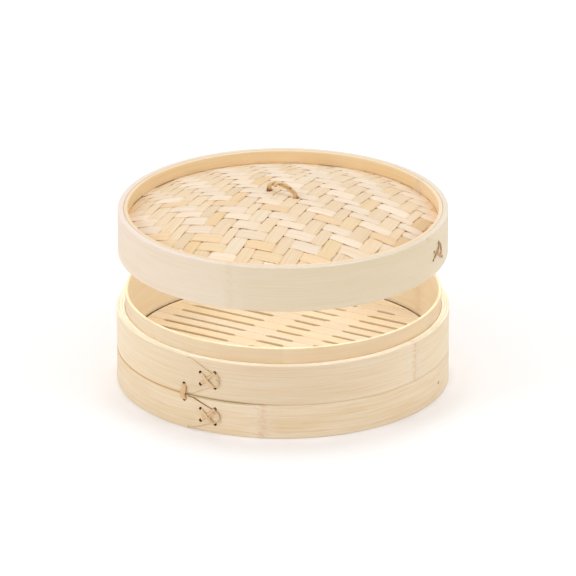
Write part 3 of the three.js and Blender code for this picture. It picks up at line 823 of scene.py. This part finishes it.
def slat(low, high, number, tint):
    """A floor slat with rounded edges, lofted from its underside to its top between two joints. Its grain
    runs along it whatever the face."""
    lower = slat_side(low, 1) if low is not None else [(0.0, -FLOOR_RADIUS)]
    upper = slat_side(high, -1) if high is not None else [(0.0, FLOOR_RADIUS)]
    right, left = (floor_arc(lower[-1][1], upper[-1][1], side)[1:-1] for side in (1, -1))
    outline = np.array([*lower, *right, *upper[::-1], *left[::-1]])
    bottom = FLOOR_TOP - SLAT_THICKNESS
    layers = [(0.8, 0.0), (SLAT_ROUNDING, 0.0), (0.13, 0.13), (0, SLAT_ROUNDING)]
    layers = [(d, bottom + up) for d, up in layers] + [(d, FLOOR_TOP - up) for d, up in layers[::-1]]
    grid = np.array([np.insert(inset(outline, distance), 2, height, axis=1) for distance, height in layers])
    # Painted shade on the sides below the top rounding
    shade = np.where(grid[..., 2:] < FLOOR_TOP - 0.2, SLAT_SIDE_PAINTED_SHADE, 1.0)
    shape = Shape().loft(turned(grid, FLOOR_ANGLE), tint, shade=shade)
    corners = grid.reshape(-1, 3)[np.concatenate(shape.faces)]
    shape.grain = [corners[:, :2] + np.insert(FLOOR_TOP - corners[:, 2:], 0, 400 * number, axis=1)]
    return shape


joints = [FIRST_SLAT_WIDTH - FLOOR_RADIUS + k * SLAT_PITCH for k in range(SLAT_COUNT - 1)]
for number, (low, high) in enumerate(zip([None, *joints], [*joints, None]), 1):
    shade = 1 + chance.uniform(-0.06, 0.05)
    warmth = chance.uniform(-0.06, 0.06)
    tint = tuple(c * shade * w for c, w in zip(SLAT_TINT, (1 + warmth * 0.4, 1, 1 - warmth)))
    node = f"slat_{number:02d}"
    dressed(slat(low, high, number, tint), node + "_notched", slat_bamboo, "basket", node)

# The woven panel: two families of splints, each over two and under two of the other

SPLINT_THICKNESS = 0.5
SPLINT_LEVEL = 0.28
SPLINT_END = 118.2
SPLINT_ROWS = 150
SPLINT_EASE = 2.3
OTHER_WIDTHS = (8.8, 11.6)
# A splint is a little higher along its middle and bows between crossings, less where it dips
SPLINT_CROWN = 0.1
SPLINT_BOW = 0.16
DIP_BOW = 0.3
# How far from a crossing, or from the clamped edge, it has its full bow
BOW_GROWTH = 9
# A splint whose middle is nearer the edge than this is left out
SPLINT_MARGIN = 3
# Browns for the splints' dips, edges and marks: partly stains, partly painted shade where they go under
DIP_STAIN_AND_SHADE = np.array([0.22, 0.36, 0.55])
EDGE_STAIN_AND_SHADE = np.array([0.02, 0.05, 0.1])
MARK_STAIN_AND_SHADE = np.array([0.33, 0.45, 0.56])

# A splint's section: places across it over its top and back beneath, and where its faces lie
SECTION = np.array([-1, -0.97, -0.85, -0.4, 0, 0.4, 0.85, 0.97, 1])
MIDDLE = 4
SIDES = np.concatenate([SECTION, SECTION[::-1]])
UPPER = np.repeat([1.0, -1.0], len(SECTION))
THIN = np.where(np.abs(SIDES) > 0.99, 0.35, np.where(np.abs(SIDES) > 0.95, 0.8, 1.0))
SPLINT_FACES = UPPER * THIN * SPLINT_THICKNESS / 2


class Family:
    """Lines between the splints of one direction, which fan out a little. Each lies at an offset along the
    normal of its own direction. Beyond the given widths, the widths are drawn."""

    def __init__(self, angle, fan, flip, first, start, widths, seed):
        self.flip = flip
        grow = random.Random(seed)
        offsets = [start]
        for width in widths:
            offsets.append(offsets[-1] + width)
        while offsets[-1] < SPLINT_END:
            offsets.append(offsets[-1] + grow.uniform(*OTHER_WIDTHS))
        while offsets[0] > -SPLINT_END:
            offsets.insert(0, offsets[0] - grow.uniform(*OTHER_WIDTHS))
            first -= 1
        self.first = first
        self.offsets = np.array(offsets)
        angles = math.radians(angle) + math.radians(fan) * (first + np.arange(len(offsets)))
        self.directions = np.column_stack([np.cos(angles), np.sin(angles)])
        self.normals = flip * np.column_stack([-np.sin(angles), np.cos(angles)])

    def foot(self, k):
        """The point of a line that is nearest the axis."""
        return self.offsets[k] * self.normals[k]

    def distances(self, points):
        """How far points lie past each line."""
        return points @ self.normals.T - self.offsets


# The splints' widths, in order from the first line, were counted on the photographed lid
LAID = Family(
    -21.73, 0.325, 1, -6, -95.1, (10.7, 10.2, 11.5, 12.0, 9.2, 10.4, 9.4, 9.6, 8.4, 10.3, 7.9, 12.9, 10.7), 23
)
CROSS = Family(
    67.72, 0.532, -1, -11, -61.7,
    (11.1, 8.1, 8.8, 9.5, 11.7, 7.1, 11.5, 9.9, 10.9, 9.4, 11.5, 8.8, 11.1, 11.9, 11.6, 7.0), 24,
)
LAID_TINTS = {None: SPLINT_TINT, 0: PEACH_TINT, -5: PEACH_TINT, -6: GOLDEN_TINT}
CROSS_TINTS = {None: CROSS_TINT, -8: BROWN_TINT, 5: BROWN_TINT, 6: BROWN_TINT, -5: CREAM_TINT, 1: TAN_TINT}


def laid_over(cross, laid):
    return (cross + laid) % 4 % 3 == 0


def cross_over(laid, cross):
    return ~laid_over(cross, laid)


def dome(points):
    """Height of the middle of the panel under points, and its normal there."""
    radius = np.minimum(np.hypot(points[..., 0], points[..., 1]), LID_HOOP[0])
    height = PANEL_CROWN - PANEL_RISE * (radius / LID_HOOP[0]) ** 2 - PANEL_HALF_THICKNESS
    slope = 2 * PANEL_RISE / LID_HOOP[0] ** 2
    return height, unit(np.insert(slope * points, 2, 1.0, axis=-1))


def splint_level(points, strip, other, over):
    """How high a splint rides at points: 1 over the others and -1 under, eased between, and how far each
    point is from where that changes."""
    past = other.distances(points)
    cell = np.clip((past >= 0).sum(-1) - 1, 0, len(other.offsets) - 2)
    before = np.take_along_axis(past, cell[..., None], -1)[..., 0]
    after = -np.take_along_axis(past, cell[..., None] + 1, -1)[..., 0]
    last, here, following = (np.where(over(cell + k + other.first, strip), 1.0, -1.0) for k in (-1, 0, 1))
    room = []
    level = here
    for distance, state in ((before, last), (after, following)):
        part = smoothstep(-SPLINT_EASE, SPLINT_EASE, distance)
        level = np.where(distance < SPLINT_EASE, state * (1 - part) + level * part, level)
        room.append(np.where(state == here, distance + before + after, distance))
    return level, np.minimum(*room)


def splint_plan(family, k, width, gap, shift, end, rows):
    """How far along each point of a splint lies, and its place seen from above."""
    blend = ((1 + SIDES * (1 - gap / width)) / 2 + shift / width)[:, None]
    start = family.foot(k) * (1 - blend) + family.foot(k + 1) * blend
    heading = unit(family.directions[k] * (1 - blend) + family.directions[k + 1] * blend)
    lean = dot(start, heading)
    root = np.sqrt(np.maximum(end**2 - dot(start, start) + lean**2, 1.0))
    along = -lean - root + 2 * root * np.linspace(0, 1, rows)[:, None]
    return along, start + along[..., None] * heading


def splint_stains_and_shade(along, level, phase):
    """Brown at some of the corners where a splint dips and along its cut edges: partly stains, partly painted
    shade in the crevices of the weave.
    """

    def wave(rate, turn):
        return np.sin(rate * along + turn)

    corner = smoothstep(-0.7, 0.9, SIDES * np.sign(wave(0.13, 2 * phase)))
    stain = smoothstep(0.8, -0.1, level) * (0.15 + 0.85 * smoothstep(0.0, 0.8, wave(0.21, phase)) * corner)
    mark = smoothstep(0.1, 0.9, wave(0.31, 3 * phase + 2 * np.sign(SIDES)) * wave(0.087, phase))
    # Stains and painted shade where the splint dips under the others
    shade = 1 - stain[..., None] * DIP_STAIN_AND_SHADE
    edge = np.abs(SIDES) > 0.96
    shade[:, edge] *= 1 - EDGE_STAIN_AND_SHADE - mark[:, edge, None] * MARK_STAIN_AND_SHADE
    return shade


def splint(shape, family, other, k, over, tint, gap, grow, end, rows, drop):
    """One splint of a family, from edge to edge of the panel."""
    width = family.offsets[k + 1] - family.offsets[k]
    if abs(family.offsets[k] + width / 2) > end - SPLINT_MARGIN:
        return
    along, flat = splint_plan(family, k, width, gap, grow.uniform(-0.15, 0.15), end, rows)
    level, room = splint_level(flat, k + family.first, other, over)
    # A splint is pinched where it dips, which leaves a small hole at each corner of the weave
    pinch = grow.uniform(1.1, 2.3) * (1 - level[:, MIDDLE] ** 2) / width
    centre = flat[:, MIDDLE, None]
    flat = centre + (flat - centre) * (1 - pinch[:, None, None])
    height, normal = dome(flat)
    inside = smoothstep(end, end - BOW_GROWTH, np.hypot(flat[..., 0], flat[..., 1]))
    crown = SPLINT_CROWN * (1 - SIDES**2)
    bow = SPLINT_BOW * smoothstep(0, BOW_GROWTH, room) * np.where(level > 0, 1, DIP_BOW)
    lift = SPLINT_LEVEL * level + inside * (crown + bow * np.sign(level)) + SPLINT_FACES
    grid = np.concatenate([flat, (height - drop)[..., None]], -1) + normal * lift[..., None]
    shade = splint_stains_and_shade(along, level, 1.7 * k + 0.9 * family.flip)
    place = along[:, MIDDLE] + grow.uniform(0, 4000)
    across = around(np.column_stack([SIDES * width / 2, UPPER * 0.3])) + grow.uniform(0, 300)
    across[-1] = across[0] + 2 * width
    shape.loft(grid, tint, place, across, shade=shade)


def weave(family, other, over, tints, seed, spread=0.05, end=SPLINT_END, rows=SPLINT_ROWS, drop=0.0):
    """All the splints of one family. spread is how far their shades differ."""
    grow = random.Random(seed)
    shape = Shape()
    for k in range(len(family.offsets) - 1):
        shade = 1 + grow.uniform(-spread, spread)
        tint = tuple(c * shade for c in tints.get(k + family.first, tints[None]))
        splint(shape, family, other, k, over, tint, grow.uniform(0.1, 0.45), grow, end, rows, drop)
    return shape


# The inner mat: how far its splints' shades differ, its edge, its rows, and how deep it lies
INNER_MAT = (0.08, 115.6, 90, 1.38)
LEAF_EDGE = 115.6
LEAF_DROP = 0.62
LEAF_THICKNESS = 0.1
# The holes for the loop's feet, from the panel's crown down and up
FOOT_HOLE_REACH = (-6, 4)


def leaf():
    """The thin sheet of dry leaf between the two mats of a lid, which darkens the holes in the weave: its
    dark brown is partly the leaf's own and partly painted shade.
    """
    radii = np.array([1.0, *np.linspace(6, LEAF_EDGE, 24)])
    rows = []
    for reaches, drop in ((radii, LEAF_DROP), (radii[::-1], LEAF_DROP + LEAF_THICKNESS)):
        for flat in (np.column_stack(circle(96, reach)) for reach in reaches):
            rows.append(np.column_stack([flat, dome(flat)[0] - drop]))
    return Shape().loft(rows, LEAF_AND_PAINTED_SHADE_TINT, np.append(radii, radii[::-1] + 300), np.linspace(0, 500, 97))


def foot_holes(width, depth):
    """Room for the feet of the loop, which leans either way: half the size of a hole across and along."""
    shape = Shape()
    x, y = circle(24, width, depth)
    for middle in LOOP_FEET:
        flat = turned(np.column_stack([middle + x, y, 0 * x]), LOOP_ANGLE)
        shape.loft([flat + (0, 0, PANEL_CROWN + reach) for reach in FOOT_HOLE_REACH], CROSS_TINT)
    return shape.object("foot_holes", splint_bamboo)


OUTER_FOOT_HOLE = (2.4, 3.0)
INNER_FOOT_HOLE = (2.6, 4.0)
crosses, plain = {None: CROSS_TINT}, {None: SPLINT_TINT}
for name, shape, hole in (
    ("splints_laid", weave(LAID, CROSS, laid_over, LAID_TINTS, 5), OUTER_FOOT_HOLE),
    ("splints_crossing", weave(CROSS, LAID, cross_over, CROSS_TINTS, 6), OUTER_FOOT_HOLE),
    ("inner_mat_laid", weave(LAID, CROSS, laid_over, crosses, 7, *INNER_MAT), INNER_FOOT_HOLE),
    ("inner_mat_crossing", weave(CROSS, LAID, cross_over, plain, 8, *INNER_MAT), INNER_FOOT_HOLE),
    ("leaf_lining", leaf(), INNER_FOOT_HOLE),
):
    dressed(shape, name, splint_bamboo, "lid", "woven_panel", [foot_holes(*hole)], 50)

# Canes

CANE_POINTS = 48
CANE_GRAIN = 0.45
# How much narrower a cane is in its hole
NARROWING = 0.45
# How painted shade on a cane's edges darkens each colour
RIM_PAINTED_SHADE = (0.45, 0.65, 0.85)


def through(points, count, closed=False):
    """A smooth path through points, evenly spaced, and its length."""
    p = np.array(points, float)
    if closed:
        p = np.concatenate([p[-1:], p, p[:2]])
    else:
        p = np.concatenate([2 * p[:1] - p[1:2], p, 2 * p[-1:] - p[-2:-1]])
    t = np.linspace(0, 1, 24, endpoint=False)[:, None]
    pieces = []
    for a, b, c, d in zip(p, p[1:], p[2:], p[3:]):
        bend = (2 * a - 5 * b + 4 * c - d) * t**2 + (3 * b - a - 3 * c + d) * t**3
        pieces.append(0.5 * (2 * b + (c - a) * t + bend))
    dense = np.concatenate([*pieces, p[-2:-1]])
    gone = travelled(dense)
    at = np.linspace(0, gone[-1], count + 1 if closed else count)
    even = np.column_stack([np.interp(at, gone, dense[:, k]) for k in range(3)])
    return (even[:-1] if closed else even), gone[-1]


def loop_tangent(path):
    return unit(np.roll(path, -1, axis=0) - np.roll(path, 1, axis=0))


def flattened(values, power, half):
    return (np.sign(values) * np.abs(values) ** power)[None, :, None] * np.reshape(half, (-1, 1, 1))


def sweep(shape, centres, outward, half_width, half_thickness, tint, offset, rim, sides=12, closed=False):
    """A cane along a path, flat side towards outward. rim is how much painted shade darkens its edges."""
    tangent = loop_tangent(centres) if closed else unit(np.gradient(centres, axis=0))
    side = unit(np.cross(tangent, outward))
    up = np.cross(side, tangent)
    x, y = circle(sides)
    shade = 1 - rim * np.abs(x)[None, :, None] ** 3 * RIM_PAINTED_SHADE
    grid = centres[:, None] + flattened(x, 0.6, half_width) * side[:, None]
    grid += flattened(y, 0.85, half_thickness) * up[:, None]
    along = around(centres) if closed else travelled(centres)
    shape.loft(grid, tint * shade, along + offset, np.arange(sides + 1) * CANE_GRAIN + offset, closed)


def wall_cane(shape, azimuth, radius, height, places, half_width, half_thickness, tint, offset):
    """A cane over a wall through places, each along the wall, up it and out from it."""
    path, _ = through(places, CANE_POINTS)
    azimuths = azimuth + path[:, 0] / radius
    centres = polar(radius + path[:, 2], azimuths, height + path[:, 1])
    outward = polar(1.0, azimuths, 0.0)
    # Where the cane dives into its hole, its flat side turns towards the middle of the lacing
    steep = np.abs(dot(unit(np.gradient(centres, axis=0)), outward))[:, None] ** 4
    turn = np.sign(np.arange(CANE_POINTS) - CANE_POINTS / 2)[:, None]
    run = unit(centres[CANE_POINTS * 3 // 4] - centres[CANE_POINTS // 4])
    outward = unit(outward * (1 - steep) + turn * run * steep)
    narrowed = half_width * (1 - NARROWING * smoothstep(0.0, -1.2, path[:, 2]))
    sweep(shape, centres, outward, narrowed, half_thickness, tint, offset, 0.5)


def stitch(start, end, base, crossing, depth):
    """A straight cane from hole to hole, out at the inner side of the first and into the second."""
    (x0, y0), (x1, y1) = start, end
    rise = [(0.03, -depth), (0.045, -0.5), (0.14, base), (0.35, base + 0.1 + 0.4 * crossing)]
    places = [*rise, (0.5, base + 0.15 + crossing), *((1 - share, out) for share, out in rise[::-1])]
    return [(x0 + (x1 - x0) * share, y0 + (y1 - y0) * share, out) for share, out in places]


def lacing(node, body, place, canes):
    """Canes over a wall. Each is its places, half its width and thickness, its tint and its grain's start."""
    shape = Shape()
    for cane in canes:
        wall_cane(shape, *place, *cane)
    dressed(shape, node + "_cane", lace_cane, body, node, sharp=60)


def crossed(seed, tail):
    """Two crossed canes, and a tail that curls beside the tongue's tip."""
    near_low, near_high, far_high, far_low = LACE_CORNERS
    return (
        (stitch(near_low, far_high, 0.45, 0.0, 4.5), 1.05, 0.4, LACE_TINT, seed),
        (stitch(near_high, far_low, 0.45, 0.85, 4.5), 1.25, 0.42, LACE_TINT, seed + 40),
        (tail, 0.46, 0.28, LACE_TINT, seed + 90),
    )


UPPER_TAIL = [
    (5.5, 5.2, -3.0), (6.1, 5.0, 0.1), (8.0, 4.3, 0.4), (8.7, 2.5, 0.5), (7.5, 1.1, 0.7), (8.9, -0.4, 0.5),
    (9.0, -2.4, 0.45), (7.6, -4.2, 0.4), (6.2, -5.2, 0.1), (5.6, -5.4, -3.0),
]
LOWER_TAIL = [
    (5.5, 5.2, -3.0), (6.1, 5.0, 0.1), (8.6, 3.4, 0.4), (9.6, 0.3, 0.5), (8.6, -2.8, 0.5), (5.6, -4.3, 1.2),
    (2.8, -2.6, 1.7), (2.3, 0.2, 1.8), (3.6, 2.6, 1.7), (5.6, 3.7, 1.2), (6.4, 2.4, 0.6),
]
TIE_PATH = [
    (0.1, 7.5, -4.5), (0.1, 7.3, -0.6), (0.2, 6.0, 0.7), (0.4, 3.6, 1.1), (-0.1, 2.2, 1.2), (-0.6, 1.0, 1.15),
    (-0.6, -1.2, 0.95), (-0.2, -3.2, 0.6), (0, -4.2, -0.4), (0, -4.4, -4.5),
]
TIE_HALF_WIDTHS = np.linspace(2.0, 2.4, CANE_POINTS)

top, inner, far, near_low, near_high = LID_CORNERS
lid_canes = (
    (stitch(near_high, far, 0.3, 0.0, 3.6), 0.95, 0.32, LID_CANE_TINT, 500),
    (stitch(near_low, top, 0.35, 0.6, 3.6), 0.75, 0.36, DARK_CANE_TINT, 540),
    (stitch(inner, top, 0.35, 0.15, 3.6), 0.7, 0.34, DARK_CANE_TINT, 580),
)
lacing("lower_lacing", "basket", LOWER_LACE, crossed(10, LOWER_TAIL))
lacing("upper_lacing", "basket", UPPER_LACE, crossed(210, UPPER_TAIL))
lacing("band_tie", "basket", TIE, [(TIE_PATH, TIE_HALF_WIDTHS, 0.5, TIE_TINT, 400)])
lacing("lid_lacing", "lid", LID_LACE, lid_canes)

# The nail: its radius and how far it stands out, from the middle of its low domed head to its point
NAIL_PROFILE = ((0.03, 0.4), (0.6, 0.37), (0.95, 0.24), (NAIL_RADIUS, 0.0), (1.05, -4.0), (0.5, -4.8))
rows = []
for radius, out in NAIL_PROFILE:
    x, y = circle(20, radius)
    rows.append(polar(NAIL_FACE + out, NAIL_AZIMUTH + x / NAIL_FACE, NAIL_HEIGHT + y))
nail = Shape().loft(rows, NAIL_TINT, across=np.arange(21) * 0.25)
dressed(nail, "band_nail_round", lace_cane, "basket", "band_nail")

# The loop of the handle: places along the line of its feet and up from its axis
LOOP_ARCH = [
    (-12.7, -1.5), (-13.0, 0.9), (-13.1, 3.0), (-12.4, 5.0), (-10.4, 6.2), (-7.8, 7.1), (-4.2, 7.9),
    (-0.8, 8.0), (2.2, 7.6), (5.0, 6.5), (8.0, 5.3), (10.4, 3.9), (11.7, 2.3), (12.1, 0.4),
]
LOOP_UNDER = [
    (12.2, -1.6), (12.0, -3.2), (10.6, -4.7), (7.0, -5.1), (2.3, -5.1), (-2.3, -5.1), (-7.0, -5.1),
    (-11.0, -4.7), (-12.5, -3.2),
]
LOOP_POINTS = 220
STRAND_OFFSET = 0.92
STRAND_HALF_WIDTH = 1.12
STRAND_HALF_THICKNESS = 0.92
LOOP_DARKENING = (0.7, 0.85, 0.95)
# Darker places on each cane of the loop: how far along it, how long and how dark
LOOP_DARK_PLACES = (
    ((2.8, 1.5, 0.95), (8.0, 0.8, 0.6), (26.6, 0.8, 0.85), (35.4, 0.9, 0.8)),
    ((2.4, 1.5, 0.9), (17.0, 0.7, 0.4)),
)
# How far the two canes have turned round each other, in turns, at places along the loop, and once round it
LOOP_TWIST = ((0, 4.5, 8.5, 12, 16, 19, 32, 35.5, 38), (0.0, 0.04, 0.27, 0.62, 0.93, 1.02, 1.1, 1.2, 1.4))
LOOP_TURNS = 3.0


def loop_twist(gone, length):
    """The turns of the two canes, smoothed along the loop."""
    twist = np.interp(gone, [*LOOP_TWIST[0], length], [*LOOP_TWIST[1], LOOP_TURNS])
    soft = np.exp(-(np.linspace(-2, 2, 9) ** 2))
    ring = np.concatenate([twist[-4:] - LOOP_TURNS, twist, twist[:4] + LOOP_TURNS])
    return np.convolve(ring, soft / soft.sum(), "valid")


def handle():
    """A loop of two canes twisted together: an arch over the panel, and a stretch beneath it."""
    path, length = through([(x, 0, z) for x, z in LOOP_ARCH + LOOP_UNDER], LOOP_POINTS, closed=True)
    across = np.array([0.0, 1.0, 0.0])
    outward = np.cross(loop_tangent(path), across)
    gone = np.linspace(0, length, LOOP_POINTS, endpoint=False)
    twist = loop_twist(gone, length)
    shape = Shape()
    for strand, dark_places in enumerate(LOOP_DARK_PLACES):
        angle = TURN * (twist + strand / 2)[:, None]
        sideways = np.cos(angle) * outward + np.sin(angle) * across
        # The canes are uneven, and thickest by the first foot
        swell = 0.96 + 0.07 * np.sin(0.9 * gone + 2 * strand) + 0.2 * np.exp(-(((gone - 3.0) / 2.8) ** 2))
        darkening = sum(depth * np.exp(-(((gone - at) / reach) ** 2)) for at, reach, depth in dark_places)
        tint = np.array(LOOP_TINT) * (1 - darkening[:, None] * LOOP_DARKENING)
        centres = turned(path + sideways * STRAND_OFFSET, LOOP_ANGLE) + (0, 0, LOOP_AXIS)
        sweep(
            shape, centres, turned(sideways, LOOP_ANGLE), STRAND_HALF_WIDTH * swell,
            STRAND_HALF_THICKNESS * swell, tint[:, None], 700 + 60 * strand, 0.45, sides=14, closed=True,
        )
    return shape


dressed(handle(), "handle_loop_twisted", loop_cane, "handle", "handle_loop", sharp=60)

# Floor, lights and camera, in metres

AMBIENT = 0.66
FLOOR_HALF = 12.0
FLOOR_COLOUR = (0.93, 0.918, 0.926, 1)
WHITE = (1, 1, 1, 1)
# The white floor's own light: weaker close round the object, which deepens its shadow there as painted
# shadow, and stronger further out, where the floor is pure white
FLOOR_GLOW = (0.07, 0.13)
FLOOR_GLOW_REACH = (0.14, 0.24)
# Place, width and power of each lamp
LAMPS = {
    "left": ((-4.9, -2.2, 2.7), 3.0, 82.0),
    "right": ((4.9, -2.2, 2.7), 3.0, 66.0),
    "top": ((0.0, 1.2, 5.2), 1.6, 58.0),
}
UNDER_LID = ((0.0, 0.0, 0.0965), 0.249, 0.113)
LAMP_AIM = (0, 0, 0.02)
LEDGE_LAMPS = 16
LEDGE_LAMP_RADIUS = 0.1195
LEDGE_LAMP_WIDTH = 0.007
LEDGE_LAMP_HEIGHT = 0.0985
LEDGE_LAMP_SPREAD = math.radians(16)
LEDGE_LIGHT = 0.0085
CAMERA_PLACE = (0.003569, -5.0, 2.09)
CAMERA_DIP = 0.384
FOCAL_LENGTH_PIXELS = 7203
PHOTO_WIDTH_PIXELS = 576
SENSOR_WIDTH = 36.0


def seen_rays(tree):
    """1 for what the camera sees, straight or by gloss or through glass, and 0 for what only lights."""
    rays = add(tree, "LightPath").outputs
    indirect = calc(tree, "MAXIMUM", rays["Is Glossy Ray"], rays["Is Transmission Ray"])
    return calc(tree, "MAXIMUM", rays["Is Camera Ray"], indirect)


def studio():
    """A white floor that keeps the object's shadow, deepened near it by painted shadow, and a world that is
    white to the camera.
    """
    mesh = bpy.data.meshes.new("studio_floor")
    corners = [(FLOOR_HALF * x, FLOOR_HALF * y, 0) for x, y in ((-1, -1), (1, -1), (1, 1), (-1, 1))]
    mesh.from_pydata(corners, [], [(0, 1, 2, 3)])
    in_scene("studio_floor", mesh)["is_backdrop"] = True
    material, tree = new_material("studio_white")
    mesh.materials.append(material)
    place = add(tree, "TexCoord").outputs["Object"]
    reach = add(tree, "VectorMath", {0: place}, operation="LENGTH").outputs["Value"]
    # Painted shadow: the glow fades close to the object
    glow = calc(tree, "MULTIPLY", seen_rays(tree), span(tree, reach, *FLOOR_GLOW_REACH, *FLOOR_GLOW))
    surface = {"Base Color": FLOOR_COLOUR, "Roughness": 0.9, "Emission Color": WHITE}
    surfaced(tree, {**surface, "Emission Strength": glow})

    world = bpy.data.worlds.new("studio")
    bpy.context.scene.world = world
    tree = cleared(world)
    strength = add(tree, "MapRange", {"Value": seen_rays(tree), "To Min": AMBIENT, "To Max": 1.0}).outputs[0]
    background = add(tree, "Background", {"Color": WHITE, "Strength": strength})
    add(tree, "OutputWorld", {0: background.outputs[0]})


def lamp(name, place, power, **settings):
    """A soft lamp that isn't seen itself."""
    data = bpy.data.lights.new(name, "AREA")
    data.energy = power
    for key, value in settings.items():
        setattr(data, key, value)
    made = in_scene(name, data)
    made.location = place
    made.visible_camera = False
    return made


def aimed_lamp(name, place, size, power):
    """A round lamp that points at the object."""
    made = lamp(name, place, power, shape="DISK", size=size)
    aim = in_scene(name + "_aim", None)
    aim.location = LAMP_AIM
    track = made.constraints.new("TRACK_TO")
    track.target = aim
    track.track_axis = "TRACK_NEGATIVE_Z"
    track.up_axis = "UP_Y"
    return made


def ledge_lamp(k):
    """One of a ring of small lamps under the lid's wall, which light the ledge beneath it."""
    azimuth = TURN * k / LEDGE_LAMPS
    size = {"size": TURN * LEDGE_LAMP_RADIUS / LEDGE_LAMPS, "size_y": LEDGE_LAMP_WIDTH}
    place = polar(LEDGE_LAMP_RADIUS, azimuth, LEDGE_LAMP_HEIGHT)
    power = LEDGE_LIGHT / LEDGE_LAMPS
    made = lamp(f"ledge_{k:02d}", place, power, shape="RECTANGLE", spread=LEDGE_LAMP_SPREAD, **size)
    made.rotation_euler = (0, 0, azimuth)
    return made


def photo_camera():
    data = bpy.data.cameras.new("photo_camera")
    data.sensor_width = SENSOR_WIDTH
    data.lens = FOCAL_LENGTH_PIXELS * SENSOR_WIDTH / PHOTO_WIDTH_PIXELS
    data.clip_end = 100
    made = in_scene("photo_camera", data)
    made.location = CAMERA_PLACE
    made.rotation_euler = (math.pi / 2 - CAMERA_DIP, 0, 0)
    bpy.context.scene.camera = made


studio()
for name, placing in LAMPS.items():
    aimed_lamp(name, *placing)
# The photographed lid was laid over a basket that was lit open, so lamps that ride with the lid light it
for made in [aimed_lamp("inside", *UNDER_LID), *map(ledge_lamp, range(LEDGE_LAMPS))]:
    made.parent = wall
    made.matrix_parent_inverse = wall.matrix_world.inverted()
photo_camera()
bpy.context.scene.view_settings.view_transform = "Standard"

low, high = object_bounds()
